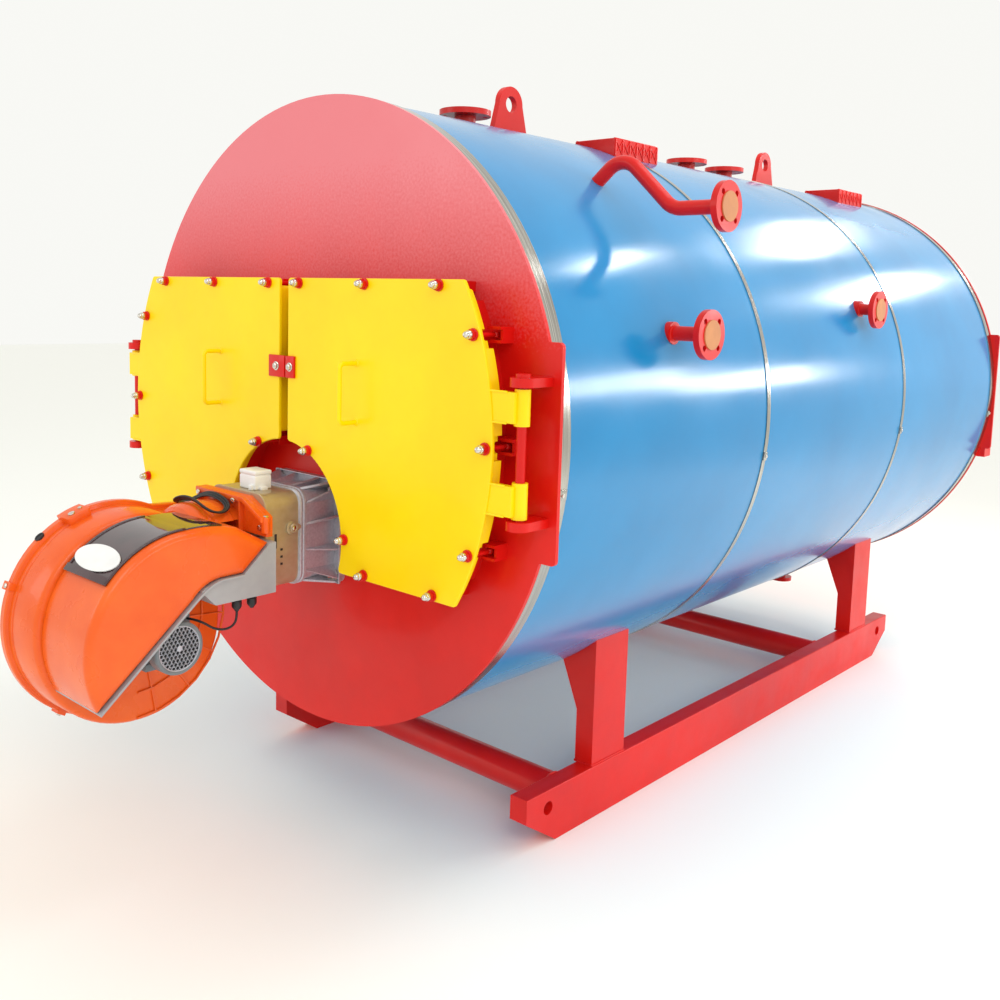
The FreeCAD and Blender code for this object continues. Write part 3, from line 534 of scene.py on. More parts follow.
# burner: spiral fan casing, seen from the side as a circle with a heel
fan = {
    "ahead": -588, "down": -563, "radius": 312, "heel": 266, "heelAhead": -579, "top": -287, "rear": -313,
    "bow": 30, "gap": 3, "steps": (22, 40, 12),
    # across, and how far each ring stands out from the plain outline
    "layers": [(-230, 7), (-228, 13), (-208, 13), (-203, 10), (-201, 1), (-184, 0), (-182, -3), (-178, -3),
               (-176, -1), (-66, -3), (-58, -7), (-54, -12), (-52, -19)]}


def fanOutline(grow):
    ahead, down, radius = fan["ahead"], fan["down"], fan["radius"] + grow
    deep = down - fan["radius"] + fan["heel"]
    first = math.degrees(math.asin((fan["top"] + grow - down) / radius))
    last = 180 - first - fan["bow"]
    outline = [(fan["rear"] + grow, fan["top"] + grow), (fan["rear"] + grow, deep)]
    outline += circlePoints(fan["heelAhead"], deep, fan["heel"] + grow, -1, -90, fan["steps"][0])
    outline += circlePoints(ahead, down, radius, 270, last, fan["steps"][1])
    outline += circlePoints(ahead, down, radius, last - fan["gap"], first + fan["gap"], fan["steps"][2])
    return outline


casing = bmesh.new()
addLoops(casing, [[at(x, y, z) for y, z in fanOutline(grow)] for x, grow in fan["layers"]])
newPiece("fan_casing_shell", casing, "burner_orange", replaces=("burner_fan_casing",), sharp=28)

# bosses on the casing: sectors of a ring, each with its first and last turn and its width across
boss = {"radii": (300, 333), "steps": 8, "bevel": 4,
        "sectors": [(105, 117.5, -236, -168), (156.5, 160.5, -236, -200), (237, 242, -236, -200),
                    (41, 45, -236, -200)],
        "screws": ((113.5, -186, 10), (108, -196, 6), (158.5, -215, 7), (239.5, -215, 7), (43, -215, 7)),
        "screw": (6, 20, 1), "screwLift": 2}
bosses = bmesh.new()
for first, last, x0, x1 in boss["sectors"]:
    addPlate(bosses, arcBand(fan["ahead"], fan["down"], *boss["radii"], first, last, boss["steps"]), x0, x1,
             boss["bevel"])
newPiece("casing_bosses", bosses, "burner_orange")

# stepped rings and thin ribs on the casing's right face, under the motor
face = {"centre": (-590, -575), "x": -52, "rings": ((282, 288, 5), (206, 212, 6), (128, 133, 6)), "arc": (-92, 22),
        "bevel": 1.5, "ribs": (-80, -55, -30, -5), "rib": (5, 185, 4), "ribFrom": (-49.5, 190, 0)}
ribs = bmesh.new()
for inner, outer, thick in face["rings"]:
    addPlate(ribs, arcBand(*face["centre"], inner, outer, *face["arc"], boss["steps"]), face["x"],
             face["x"] + thick, face["bevel"])
for turn in face["ribs"]:
    addTurned(ribs, face["rib"], "X", turn, at(0, *face["centre"]), face["ribFrom"])
newPiece("casing_ribs", ribs, "burner_orange")

screws = bmesh.new()
for turn, x, size in boss["screws"]:
    addDisc(screws, origin, "z", size, *boss["screw"])
    settle(screws, "X", turn - 90, onCircle(x, fan["ahead"], fan["down"], boss["radii"][1] + boss["screwLift"], turn))
newPiece("casing_screws", screws, "cap_nut")

# round sight glass on the casing's rim
glass = {"turn": 131, "x": -216, "radius": 322, "sides": 28,
         "profile": [(0, 0), (13.5, 0), (14.5, 1), (14.5, 6), (12, 7), (10.5, 4), (0, 3)]}
sight = bmesh.new()
addLathe(sight, origin, "z", glass["profile"], glass["sides"])
settle(sight, "X", glass["turn"] - 90, onCircle(glass["x"], fan["ahead"], fan["down"], glass["radius"], glass["turn"]))
newPiece("casing_sight_glass", sight, "black_plastic")

# hood: light lip along its underside, and a thin strip on its crest
hood = {"x": (-50, 201.5), "lip": (2.5, 6), "stripX": (-48, -36), "strip": 5,
        "under": [(-843, -708), (-560, -462), (-548, -452), (-530, -439), (-508, -426), (-484, -418), (-470, -416),
                  (-400, -415)],
        "crest": [(-344, -319), (-418, -275.5), (-440, -268), (-478, -263), (-520, -262), (-562, -262)]}
lip = bmesh.new()
back, down = hood["lip"]
addPlate(lip, hood["under"] + [(y + back, z - down) for y, z in hood["under"]][::-1], *hood["x"])
newPiece("hood_lip", lip, "grey_sheet")

strip = bmesh.new()
addPlate(strip, hood["crest"] + [(y, z - hood["strip"]) for y, z in hood["crest"]][::-1], *hood["stripX"])
newPiece("hood_strip", strip, "grey_sheet")

# smoked cover: thick rounded lip at its lower end and along both sides
smoked = {"centre": (-572, -569), "radius": 305.5, "x": (-41, 179), "wide": 8, "sides": (1, 7, 91, 140, 24),
          "end": (1, 10, 137.5, 141.5, 4), "bevels": (1.5, 3)}


def lipOutline(inner, outer, first, last, count):
    return arcBand(*smoked["centre"], smoked["radius"] + inner, smoked["radius"] + outer, first, last, count)


lips = bmesh.new()
x0, x1 = smoked["x"]
for low in (x0, x1 - smoked["wide"]):
    addPlate(lips, lipOutline(*smoked["sides"]), low, low + smoked["wide"], smoked["bevels"][0])
addPlate(lips, lipOutline(*smoked["end"]), x0, x1, smoked["bevels"][1])
newPiece("hood_window_lip", lips, "smoked")

# blank oval badge, slightly domed, with a rolled edge: its profile is for a radius of 1000
badge = {"turn": 130, "across": 60, "long": 108, "short": 41, "lift": 5, "sides": 64,
         "profile": [(0, 4), (500, 3.6), (860, 2.6), (930, 3.4), (1000, 3), (1000, 0), (0, 0)]}
oval = bmesh.new()
addLathe(oval, origin, "z", badge["profile"], badge["sides"])
bmesh.ops.scale(oval, vec=(badge["long"] / 1000, badge["short"] / 1000, 1), verts=oval.verts)
settle(oval, "X", badge["turn"] - 90, onCircle(badge["across"], *smoked["centre"], smoked["radius"] + badge["lift"],
                                               badge["turn"]), within=badge["long"] + 10)
newPiece("hood_badge_oval", oval, "white_plastic", replaces=("hood_badge",))

# yoke plate on the head, with its edge strip, two webs, hinge barrel and screws
yoke = {"plate": [(-165, -324), (-165, -217), (80, -217), (178, -265), (178, -324)], "plateY": (-311, -289.3),
        "edge": [(-165, -232), (-165, -217), (80, -217), (176, -264), (176, -279), (78, -232)], "edgeY": (-330, -311),
        "webs": (-158, 60), "webZ": (-322, -230), "webY": (-326, -311), "bevels": (3, 2, 1.5),
        "barrel": ((172, -309, -289), 13, 46, 28, 2), "nut": ((172, -309, -264), 8, 8, 6, 1),
        "screws": [(-142, -334, -232), (42, -334, -232), (-142, -315, -300), (150, -315, -300)],
        "screw": (8.5, 7, 24, 1.5)}
plate = bmesh.new()
addDrawn(plate, yoke["plate"], *yoke["plateY"], yoke["bevels"][0])
addDrawn(plate, yoke["edge"], *yoke["edgeY"], yoke["bevels"][1])
low, high = yoke["webZ"]
for x in yoke["webs"]:
    addDrawn(plate, [(x - 4, low), (x - 4, high), (x + 4, high), (x + 4, low)], *yoke["webY"], yoke["bevels"][2])
addDisc(plate, at(*yoke["barrel"][0]), "z", *yoke["barrel"][1:])
newPiece("yoke_plate", plate, "burner_orange", replaces=("burner_collar",))

# the round neck in front of it: how far back each ring is, and how much narrower
neck = {"x": -50, "z": -395, "radius": 155, "floor": -288, "steps": 20,
        "rings": [(-470, 22), (-462, 10), (-448, 3), (-430, 0), (-425, 3), (-419, 3), (-414, 0), (-408, 3),
                  (-402, 3), (-397, 0), (-345, 0), (-338, 4), (-311, 4)]}


def neckLoop(y, shrink):
    radius = neck["radius"] - shrink
    half = math.degrees(math.acos((neck["floor"] - neck["z"]) / radius))
    return [at(x, y, z) for x, z in circlePoints(neck["x"], neck["z"], radius, 90 - half, 90 + half, neck["steps"])]


neckShell = bmesh.new()
addLoops(neckShell, [neckLoop(*ring) for ring in neck["rings"]])
newPiece("neck_shell", neckShell, "burner_orange", sharp=25)

caps = bmesh.new()
for place in yoke["screws"]:
    addDisc(caps, at(*place), "y", *yoke["screw"])
addDisc(caps, at(*yoke["nut"][0]), "z", *yoke["nut"][1:])
newPiece("yoke_screws", caps, "cap_nut")

# white control box: body, neck of the shadow gap, lid, plug and tab
station = [((-34, -258, -210), (46, -196, -167.5), 4, 3), ((-32, -256, -190), (44, -198, -155), 2, 2),
           ((-35, -259, -166), (47, -195, -152), 5, 3), ((24, -267, -210), (40, -256, -194), 2, 2),
           ((43, -242, -211), (58, -218, -200), 2, 2)]
case = bmesh.new()
addBlocks(case, station)
newPiece("control_box_case", case, "white_plastic", replaces=("control_box",))

# head: raised rim at its rear joint and a band round its front, as rings of a rounded box
head = {"rim": [(-166, 0.4), (-163, 5), (-158, 6), (-154, 5), (-152, 3), (-149, 3), (-147, 5.5), (-140, 5.5),
                (-137, 1), (-136, -3)], "rimCorner": 44,
        "band": [(-288, 0.3), (-287, 2), (-278, 2), (-277, 0.3)], "bandCorner": 43, "steps": 6}


def roundedLoop(y, grow, radius):
    wide, tall = (half + grow - radius for half in burner["half"])
    points = []
    for x, z, first in ((wide, tall, 0), (-wide, tall, 90), (-wide, -tall, 180), (wide, -tall, 270)):
        points += circlePoints(x, burner["axis"] + z, radius, first, first + 90, head["steps"])
    return [at(x, y, z) for x, z in points]


rim, band = bmesh.new(), bmesh.new()
addLoops(rim, [roundedLoop(*ring, head["rimCorner"]) for ring in head["rim"]])
newPiece("head_rim", rim, "cast_aluminium", sharp=25)
addLoops(band, [roundedLoop(*ring, head["bandCorner"]) for ring in head["band"]])
newPiece("head_front_band", band, "champagne", sharp=25)

# peep boss on the head's side and the screw in it
peep = {"pad": (-192, -318, 21, 60, 300, 10), "tail": [(-158, -322), (-158, -314)], "padX": (139.5, 146),
        "bevel": 1.5, "centre": (146, -190, -318),
        "boss": [(0, -2), (14.5, -2), (14.5, 7), (12.5, 9), (8.5, 9), (7.5, 6.5), (0, 6)],
        "screw": [(0, 6.4), (7.2, 6.4), (7.2, 7.5), (4, 8.6), (0, 9)]}
pad, lens = bmesh.new(), bmesh.new()
addPlate(pad, circlePoints(*peep["pad"]) + peep["tail"], *peep["padX"], peep["bevel"])
addLathe(pad, at(*peep["centre"]), "x", peep["boss"], 28)
newPiece("head_peep_boss", pad, "champagne")
addLathe(lens, at(*peep["centre"]), "x", peep["screw"], 24)
newPiece("head_peep_screw", lens, "cap_nut")

# painted shade: the slots in the head's side are not cut, and thin black plates stand for their dark openings, each
# with its place and height; and a thin black strip under it
slots = {"places": ((-250, -352, 44), (-228, -402, 7), (-228, -380, 7), (-228, -424, 7)), "x": (139.6, 141.6),
         "half": 4, "under": ((-60, -288, -501.5), (60, -166, -499.6)), "bevel": 0.6}
marks = bmesh.new()
(x0, x1), half = slots["x"], slots["half"]
for y, z, tall in slots["places"]:
    addBlock(marks, at(x0, y - half, z - tall / 2), at(x1, y + half, z + tall / 2), slots["bevel"])
addBlock(marks, at(*slots["under"][0]), at(*slots["under"][1]), slots["bevel"])
newPiece("head_slot_shade_plates", marks, "black_plastic")

# cast mounting flange: ribs fan out from the head's rear rim to the square plate and its raised edge
flange = {"y": (-140, -17), "inward": 0.8, "thick": 7, "across": ((-100, -150), (-45, -62), (45, 62), (100, 150)),
          "upright": ((-105, -150), (-40, -55), (40, 55), (105, 150)), "high": (143, 163), "wide": (138, 163),
          "edge": (161.35, 165.35), "edgeY": (-25, -17), "edgeBevel": 2, "studs": 139,
          "stud": [(-22, 19, 6, 28, 1), (-31, 14.5, 13, 6, 1), (-43, 7.5, 14, 20, 1)]}
flangeRibs, studs = bmesh.new(), bmesh.new()


def addRib(x0, z0, x1, z1):
    # a thin triangle from the cone near the head to the edge of the plate, heights from the burner's axis
    side = Vector((z1 - z0, 0, x0 - x1)).normalized() * flange["thick"] / 2000
    (ahead, behind), inward, middle = flange["y"], flange["inward"], burner["axis"]
    base = [at(x0, ahead, middle + z0), at(x1, behind, middle + z1), at(x0 * inward, behind, middle + z0 * inward)]
    low = [flangeRibs.verts.new(point - side) for point in base]
    high = [flangeRibs.verts.new(point + side) for point in base]
    flangeRibs.faces.new(low)
    flangeRibs.faces.new(high[::-1])
    for count in range(3):
        flangeRibs.faces.new((low[count - 1], low[count], high[count], high[count - 1]))


for sign in (1, -1):
    for x0, x1 in flange["across"]:
        addRib(x0, sign * flange["high"][0], x1, sign * flange["high"][1])
    for z0, z1 in flange["upright"]:
        addRib(sign * flange["wide"][0], z0, sign * flange["wide"][1], z1)
inner, outer = flange["edge"]
for x0, z0, x1, z1 in ((-outer, -outer, outer, -inner), (inner, -outer, outer, outer),
                       (-outer, inner, outer, outer), (-outer, -outer, -inner, outer)):
    addBlock(flangeRibs, at(x0, flange["edgeY"][0], burner["axis"] + z0),
             at(x1, flange["edgeY"][1], burner["axis"] + z1), flange["edgeBevel"])
newPiece("flange_ribs", flangeRibs, "cast_aluminium")
for x in (-flange["studs"], flange["studs"]):
    for z in (-flange["studs"], flange["studs"]):
        addStack(studs, x, 0, burner["axis"] + z, flange["stud"])
newPiece("flange_studs", studs, "cap_nut")
print("burner body made")

# fan motor: finned body, foot and terminal box
motor = {"y": -600, "z": -592, "finEvery": 15, "fin": (166, 10, 2.8), "finFrom": (58, 66.5, 0),
         "body": [(0, -52), (70, -52), (70, -30), (65, -28), (65, 146), (72, 149), (72, 166), (0, 166)],
         "foot": ((0, -640, -680), (70, -560, -658), 2, 2), "terminals": ((20, -548, -572), (100, -516, -528), 4, 3),
         "cover": [(62, 176), (63.5, 181.5), (67, 184), (71, 182.5), (74.5, 178), (75.2, 168), (75.2, 140),
                   (73.5, 139.5), (73.5, 168), (66, 176)]}
shaft = at(0, motor["y"], motor["z"])
engine, cowl = bmesh.new(), bmesh.new()
addLathe(engine, shaft, "x", motor["body"], 48)
for turn in range(0, 360, motor["finEvery"]):
    addTurned(engine, motor["fin"], "X", turn, shaft, motor["finFrom"])
addBlocks(engine, (motor["foot"], motor["terminals"]))
newPiece("motor_body", engine, "motor_grey", replaces=("burner_motor",), sharp=30)
addLathe(cowl, shaft, "x", motor["cover"], 64)
newPiece("motor_cover_shell", cowl, "motor_grey", replaces=("motor_fan_cover",), sharp=30)

# perforated face of its fan cover: a honeycomb of six-sided holes round a plain hub
grille = {"pitch": 12.4, "rows": 6, "within": (9, 60), "cell": 0.578, "wall": 1.7, "thick": 1.8, "x": 179,
          "hub": (8.5, 3, 24, 0.8), "hubAt": 1.2, "rim": (62.5, 2.2, 56), "rimAt": 0.5}
mesh, pitch = bmesh.new(), grille["pitch"]
for row in range(-grille["rows"], grille["rows"] + 1):
    for column in range(-grille["rows"], grille["rows"] + 1):
        y, z = (column + (row % 2) / 2) * pitch, row * pitch * 0.866
        if grille["within"][0] < math.hypot(y, z) < grille["within"][1]:
            turned = Matrix.Translation((y / 1000, z / 1000, 0)) @ Matrix.Rotation(math.radians(30), 4, "Z")
            cell = bmesh.ops.create_circle(mesh, cap_ends=True, segments=6, radius=pitch * grille["cell"] / 1000,
                                           matrix=turned)["verts"]
            bmesh.ops.inset_individual(mesh, faces=list({face for vert in cell for face in vert.link_faces}),
                                       thickness=grille["wall"] / 1000)
            bmesh.ops.delete(mesh, geom=[face for face in mesh.faces if len(face.verts) == 6], context="FACES_ONLY")
bmesh.ops.remove_doubles(mesh, verts=mesh.verts, dist=0.0003)
extrude(mesh, list(mesh.faces), (0, 0, grille["thick"]))
addDisc(mesh, (0, 0, grille["hubAt"] / 1000), "z", *grille["hub"])
addRing(mesh, (0, 0, grille["rimAt"] / 1000), "z", *grille["rim"])
faceRight = Matrix(((0, 0, 1, 0), (1, 0, 0, 0), (0, 1, 0, 0), (0, 0, 0, 1)))
bmesh.ops.transform(mesh, matrix=Matrix.Translation(at(grille["x"], motor["y"], motor["z"])) @ faceRight,
                    verts=mesh.verts)
newPiece("motor_grille", mesh, "cast_aluminium", sharp=30)

wheel = {"x": 173, "disc": (66, 6, 40, 1), "bladeEvery": 45, "blade": (2, 50, 4), "bladeFrom": (177.5, 33, 0)}
dark = bmesh.new()
addDisc(dark, at(wheel["x"], motor["y"], motor["z"]), "x", *wheel["disc"])
for turn in range(0, 360, wheel["bladeEvery"]):
    addTurned(dark, wheel["blade"], "X", turn, shaft, wheel["bladeFrom"])
newPiece("motor_fan", dark, "black_plastic")

# cable glands under the grey body: six-sided base above a tapered domed nut
gland = {"x": 150, "y": (-394, -342), "baseAt": -492, "base": (16.5, 8, 6, 0.8), "nutAt": -534,
         "nut": [(0, 0), (6, 0), (7.5, 4), (11.5, 8), (14.5, 14), (14.5, 30), (12.5, 32), (12.5, 42), (0, 42)]}
sleeve = bmesh.new()
for y in gland["y"]:
    addDisc(sleeve, at(gland["x"], y, gland["baseAt"]), "z", *gland["base"])
    addLathe(sleeve, at(gland["x"], y, gland["nutAt"]), "z", gland["nut"], 24)
newPiece("gland_nuts", sleeve, "black_plastic", replaces=("cable_glands",), sharp=30)
print("motor and glands made")


# cords: each lies along a smooth curve through chosen points

def newCord(name, points, diameter, **facts):
    curve = bpy.data.curves.new(name, "CURVE")
    curve.dimensions, curve.bevel_depth, curve.bevel_resolution = "3D", diameter / 2, 4
    curve.resolution_u, curve.use_fill_caps = 8, True
    spline = curve.splines.new("NURBS")
    spline.points.add(len(points) - 1)
    for point, place in zip(spline.points, points):
        point.co = (*place, 1.0)
    spline.order_u = 3
    spline.use_endpoint_u = True
    cord = bpy.data.objects.new(name, curve)
    bpy.context.scene.collection.objects.link(cord)
    curve.materials.append(finishes["black_plastic"])
    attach(cord, "boiler")


# from the motor's terminals to the gland, swaying sideways where it hangs near the motor
motorLead = {"x": 150, "diameter": 0.007, "length": 0.2, "swayFrom": 500, "sway": 1.2,
             "points": [(-534, -536), (-520, -538), (-500, -549), (-478, -566), (-452, -578), (-424, -581),
                        (-403, -573), (-394, -556), (-394, -536)]}
places = [at(motorLead["x"] - max(0, -y - motorLead["swayFrom"]) * motorLead["sway"], y, z)
          for y, z in motorLead["points"]]
newCord("motor_cable", places, motorLead["diameter"], length=motorLead["length"], stiffness="medium", lay="hanging")

# spare ignition lead: flat oval turns draped over the neck, one outside another
spare = {"diameter": 0.007, "length": 1.6, "turns": 3, "perTurn": 28, "reach": 98, "bend": 33, "y": -385,
         "arc": 161, "lift": 2, "step": 4.5}


def ovalPlace(part, reach, bend):
    # a straight run, a half circle, a straight run back and a half circle
    straight, bow = 2 * (reach - bend), math.pi * bend
    way = part % 1 * 2 * (straight + bow)
    side = 1 if way < straight + bow else -1
    way %= straight + bow
    if way < straight:
        return side * (way - straight / 2), -side * bend
    turn = (way - straight) / bend
    return side * (straight / 2 + bend * math.sin(turn)), -side * bend * math.cos(turn)


places = []
for step in range(spare["turns"] * spare["perTurn"] + 1):
    count = step / spare["perTurn"]
    grow = spare["step"] * count
    across, y = ovalPlace(count, spare["reach"] + grow, spare["bend"] + grow)
    x, z = polar(-math.degrees(across / spare["arc"]), spare["arc"] + spare["lift"] + grow)
    places.append(at(neck["x"] + x, spare["y"] + y, neck["z"] + z))
newCord("spare_lead", places, spare["diameter"], length=spare["length"], stiffness="medium", lay="coiled")
print("cords laid")


# barrel: stepping plates with bars across the top, upright bars and crossed strips on the skirts
sheetR, length = cladR * 1000, (rear - front) * 1000
sides = (-1, 1)
tread = {"x": (212, 390), "y": (1050, 2960), "long": 280, "top": 976, "bars": 15, "posts": 7, "foot": 915,
         "barEnd": 8, "postEnd": 6, "leans": (50, -50), "strut": (3, 64, 3), "strutAt": 946}


def mirrorCopy(mesh):
    copy = bmesh.ops.duplicate(mesh, geom=list(mesh.verts) + list(mesh.edges) + list(mesh.faces))["geom"]
    bmesh.ops.scale(mesh, vec=(-1, 1, 1), verts=[item for item in copy if isinstance(item, bmesh.types.BMVert)])


bars, lattice = bmesh.new(), bmesh.new()
(x0, x1), long, top = tread["x"], tread["long"], tread["top"]
pitch = (long - 2 * tread["barEnd"]) / (tread["bars"] - 1)
cell = (long - 2 * tread["postEnd"]) / (tread["posts"] - 1)
for y0 in tread["y"]:
    for count in range(tread["bars"]):
        y = y0 + tread["barEnd"] + count * pitch
        addBlock(bars, at(x0 + 3, y - 2.5, top - 1), at(x1 - 3, y + 2.5, top + 3), 1, 1)
    for x in (x0 + 4, x1 - 4):
        addBlock(bars, at(x - 3, y0 + 2, top - 1), at(x + 3, y0 + long - 2, top + 4), 1)
    for count in range(tread["posts"]):
        y = y0 + tread["postEnd"] + count * cell
        addBlock(lattice, at(x1 - 1, y - 4, tread["foot"]), at(x1 + 3, y + 4, top), 1)
    for count in range(tread["posts"] - 1):
        middle = at(x1 + 1, y0 + tread["postEnd"] + cell * (count + 0.5), tread["strutAt"])
        for lean in tread["leans"]:
            addTurned(lattice, tread["strut"], "X", lean, middle)
mirrorCopy(bars)
mirrorCopy(lattice)
newPiece("tread_bars", bars, "red_enamel")
newPiece("tread_lattice", lattice, "red_enamel")

# weld beads round lifting lugs, skid posts, cross pipes and nozzle collars
bead = {"lugY": (910, 2905), "lugX": 12, "lugHalf": 90, "wide": 4, "postY": (700, 2830), "postLong": 190,
        "postX": (578, 650), "postZ": (-1199, -1191), "bevel": 3,
        "pipeY": (565, 2568), "pipe": (587, 132 - axis * 1000), "pipeRing": (54.5, 4, 48),
        "side": [(604, 300), (2041, 388)], "sideLift": 12, "sideRing": (22.8, 3.5, 32),
        "crown": (674, 2170, 2515), "crownLift": 1.5, "crownRing": (39, 4, 40)}
beads = bmesh.new()
wide, bevel, (foot, top) = bead["wide"], bead["bevel"], bead["postZ"]
for side in sides:
    middle = side * bead["lugX"]
    for y in bead["lugY"]:
        addBlock(beads, at(middle - wide, y - bead["lugHalf"], sheetR - 3),
                 at(middle + wide, y + bead["lugHalf"], sheetR + 5), bevel, 3)
    low, high = sorted(side * x for x in bead["postX"])
    for y in bead["postY"]:
        y1 = y + bead["postLong"]
        for x in (low, high):
            addBlock(beads, at(x - wide, y - 3, foot), at(x + wide, y1 + 3, top), bevel, 3)
        for edge in (y, y1):
            addBlock(beads, at(low - 3, edge - wide, foot), at(high + 3, edge + wide, top), bevel, 3)
    x, z = bead["pipe"]
    for y in bead["pipeY"]:
        addRing(beads, at(side * x, y, z), "x", *bead["pipeRing"])
    for y, z in bead["side"]:
        skin = math.sqrt(sheetR ** 2 - z ** 2) + bead["sideLift"]
        addRing(beads, at(side * skin, y, z), "x", *bead["sideRing"])
for y in bead["crown"]:
    addRing(beads, at(0, y, sheetR + bead["crownLift"]), "z", *bead["crownRing"])
newPiece("weld_beads", beads, "red_enamel")

# clasps that close the trims and bands, with a screw each: place along y, width and lift of each strip
clasp = {"strips": ((36, 40, 5.4), (1166, 20, 3.4), (2392, 20, 3.4), (length - 36, 40, 5.4)),
         "turns": ((97, 30), (172, 60)), "thick": 5, "bevel": 1.5, "lift": 2, "screwLift": 6,
         "screw": (5.5, 6, 20, 1)}
clasps, claspScrews = bmesh.new(), bmesh.new()
for y, wide, lift in clasp["strips"]:
    for side in sides:
        for turn, long in clasp["turns"]:
            half = Vector((long, wide, clasp["thick"])) / 2000
            addBlock(clasps, -half, half, clasp["bevel"])
            x, z = polar(turn, sheetR + lift + clasp["lift"])
            settle(clasps, "Y", side * turn, at(side * x, y, z), within=60)
            addDisc(claspScrews, origin, "z", *clasp["screw"])
            x, z = polar(turn, sheetR + lift + clasp["screwLift"])
            settle(claspScrews, "Y", side * turn, at(side * x, y, z))
newPiece("band_clasps", clasps, "stainless")
newPiece("clasp_screws", claspScrews, "cap_nut")

# lap seam of each cladding course, low on the left, with its row of rivets
seam = {"turn": -128, "wide": 28, "thick": 1.6, "lift": 0.7, "rivetLift": 1.6, "step": 96, "ends": (40, 30),
        "courses": ((62, 1153), (1179, 2379), (2405, length - 62)),
        "rivet": [(0, -1), (5, -1), (4.8, 1), (3, 2.6), (0, 3)]}
laps, rivets = bmesh.new(), bmesh.new()
for y0, y1 in seam["courses"]:
    x, z = polar(seam["turn"], sheetR + seam["lift"])
    addTurned(laps, (seam["wide"], y1 - y0, seam["thick"]), "Y", seam["turn"], at(x, (y0 + y1) / 2, z))
    x, z = polar(seam["turn"], sheetR + seam["rivetLift"])
    y = y0 + seam["ends"][0]
    while y < y1 - seam["ends"][1]:
        addLathe(rivets, origin, "z", seam["rivet"], 12)
        settle(rivets, "Y", seam["turn"], at(x, y, z))
        y += seam["step"]
newPiece("cladding_laps", laps, "blue_sheet")
newPiece("cladding_rivets", rivets, "stainless")

# rear cover: ring of studs with nuts, a lifting handle and a rope seal round its rim
rearCover = {"bolts": 20, "ring": 768, "face": length + 24, "gripX": 110,
             "nut": [(2, 18, 4, 24, 1), (10, 14.5, 13, 6, 1), (20, 8, 12, 16, 1)],
             "leg": (11, 40, 24, 1), "legAt": length + 78, "weld": (12, 3, 24), "weldAt": length + 61,
             "bar": (11, 244, 24, 3), "barAt": length + 92, "rope": (803, 4.5, 128), "ropeAt": length + 3}
rearNuts, grip, rope = bmesh.new(), bmesh.new(), bmesh.new()
for count in range(rearCover["bolts"]):
    x, z = polar((count + 0.5) * 360 / rearCover["bolts"], rearCover["ring"])
    addStack(rearNuts, x, rearCover["face"], z, rearCover["nut"])
newPiece("rear_cover_nuts", rearNuts, "cap_nut")
for x in (-rearCover["gripX"], rearCover["gripX"]):
    addDisc(grip, at(x, rearCover["legAt"], 0), "y", *rearCover["leg"])
    addRing(grip, at(x, rearCover["weldAt"], 0), "y", *rearCover["weld"])
addDisc(grip, at(0, rearCover["barAt"], 0), "x", *rearCover["bar"])
newPiece("rear_cover_handle", grip, "red_enamel")
addRing(rope, at(0, rearCover["ropeAt"], 0), "y", *rearCover["rope"])
newPiece("rear_cover_rope", rope, "white_plastic")

# pins of the rear hinge blocks stand out at both ends, and the front hinge lugs have grease nipples
hinges = {"x": 945, "blocks": ((40, 256), (-352, -247)), "pinAt": length + 88, "pin": (16, 6, 28, 1.5), "out": 3,
          "nippleAt": -111, "nippleZ": (177.7, -193.7),
          "nipple": [(0, -12), (2.5, -12), (3.5, -9), (2.5, -6), (5, -5), (5, 0), (0, 0)]}
pins, nipples = bmesh.new(), bmesh.new()
for side in sides:
    for low, high in hinges["blocks"]:
        for z in (low - hinges["out"], high + hinges["out"]):
            addDisc(pins, at(side * hinges["x"], hinges["pinAt"], z), "z", *hinges["pin"])
    for z in hinges["nippleZ"]:
        addLathe(nipples, at(side * hinges["x"], hinges["nippleAt"], z), "y", hinges["nipple"], 16)
newPiece("rear_hinge_pins", pins, "cap_nut")
newPiece("hinge_nipples", nipples, "cap_nut")
print("barrel and skid dressed")


# floor, light and camera
floor = {"size": 60.0, "colour": "#fbfbf6"}
ground = bmesh.new()
bmesh.ops.create_grid(ground, x_segments=1, y_segments=1, size=floor["size"] / 2)
groundData = bpy.data.meshes.new("floor")
ground.to_mesh(groundData)
ground.free()
groundPiece = bpy.data.objects.new("floor", groundData)
bpy.context.scene.collection.objects.link(groundPiece)
groundData.materials.append(plastic("paleFloor", {"light": floor["colour"], "dark": floor["colour"],
                                                  "rough": (0.75, 0.8), "grain": 20.0, "bump": 0.0}))

sky = {"colour": "#fdfdf9", "strength": 0.96}
world = bpy.data.worlds.new("studio")
bpy.context.scene.world = world
world.use_nodes = True
backdrop = world.node_tree.nodes["Background"]
backdrop.inputs["Color"].default_value = colour(sky["colour"])
backdrop.inputs["Strength"].default_value = sky["strength"]
bpy.context.scene.view_settings.view_transform = "Standard"

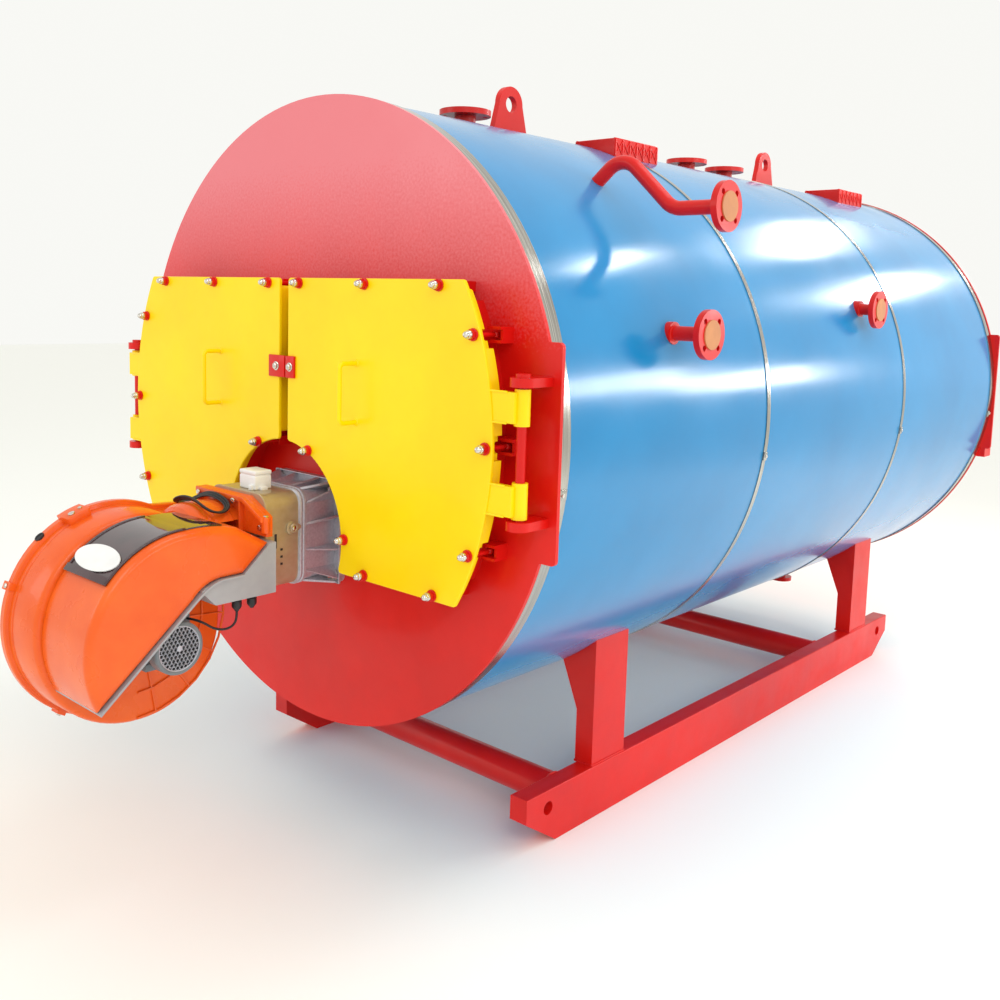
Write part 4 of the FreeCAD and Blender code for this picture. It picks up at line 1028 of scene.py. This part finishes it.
# soft panels: where each stands, where it points, its width, height and power
lamps = {
    "keyPanel": ((5.5, -5.0, 5.5), (0.3, -0.5, 1.2), 3.2, 3.2, 85.0),
    "sidePanel": ((8.5, 0.5, 3.4), (0.9, -0.3, 1.6), 5.0, 0.9, 60.0),
    "roofPanel": ((2.5, 0.5, 7.0), (0.2, 0.2, 1.5), 5.5, 1.6, 90.0),
    "frontPanel": ((-3.5, -7.0, 3.2), (0.0, -1.5, 1.3), 3.0, 2.4, 45.0),
    "windowNear": ((3.85, 2.87, 2.11), (0.98, -1.18, 1.54), 1.2, 0.4, 22.0),
    "windowFar": ((3.33, 4.0, 1.89), (0.98, -0.4, 1.53), 1.0, 0.36, 18.0),
    "skylightNear": ((2.1, 3.06, 4.52), (0.86, -1.01, 1.88), 0.8, 0.24, 12.0),
    "skylightFar": ((0.72, 4.92, 4.23), (0.75, 0.43, 2.04), 1.1, 0.4, 24.0),
    "skylightEnd": ((1.8, 5.59, 3.46), (0.87, 0.95, 1.86), 0.9, 0.4, 18.0),
}
for name, (place, target, width, height, power) in lamps.items():
    lamp = bpy.data.lights.new(name, "AREA")
    lamp.shape = "RECTANGLE"
    lamp.size, lamp.size_y, lamp.energy = width, height, power
    holder = bpy.data.objects.new(name, lamp)
    bpy.context.scene.collection.objects.link(holder)
    holder.location = place
    holder.rotation_euler = (Vector(target) - Vector(place)).to_track_quat("-Z", "Y").to_euler()
    holder.visible_camera = False

view = {"place": (2.6492, -3.5171, 1.7635), "yaw": 0.736, "pitch": -0.1153, "roll": 0.0278,
        "sensor": 36.0, "lens": 37.5775, "shiftX": 0.0167, "shiftY": -0.0785}
yaw, pitch, roll = view["yaw"], view["pitch"], view["roll"]
ahead = Vector((-math.sin(yaw) * math.cos(pitch), math.cos(yaw) * math.cos(pitch), math.sin(pitch)))
level = Vector((math.cos(yaw), math.sin(yaw), 0))
above = level.cross(ahead)
right = math.cos(roll) * level + math.sin(roll) * above
up = math.cos(roll) * above - math.sin(roll) * level
cameraData = bpy.data.cameras.new("camera")
cameraData.sensor_width, cameraData.lens = view["sensor"], view["lens"]
cameraData.shift_x, cameraData.shift_y = view["shiftX"], view["shiftY"]
camera = bpy.data.objects.new("camera", cameraData)
bpy.context.scene.collection.objects.link(camera)
camera.matrix_world = Matrix.Translation(view["place"]) @ Matrix((right, up, -ahead)).transposed().to_4x4()
bpy.context.scene.camera = camera

bpy.context.view_layer.update()
print("stage, light and camera set")
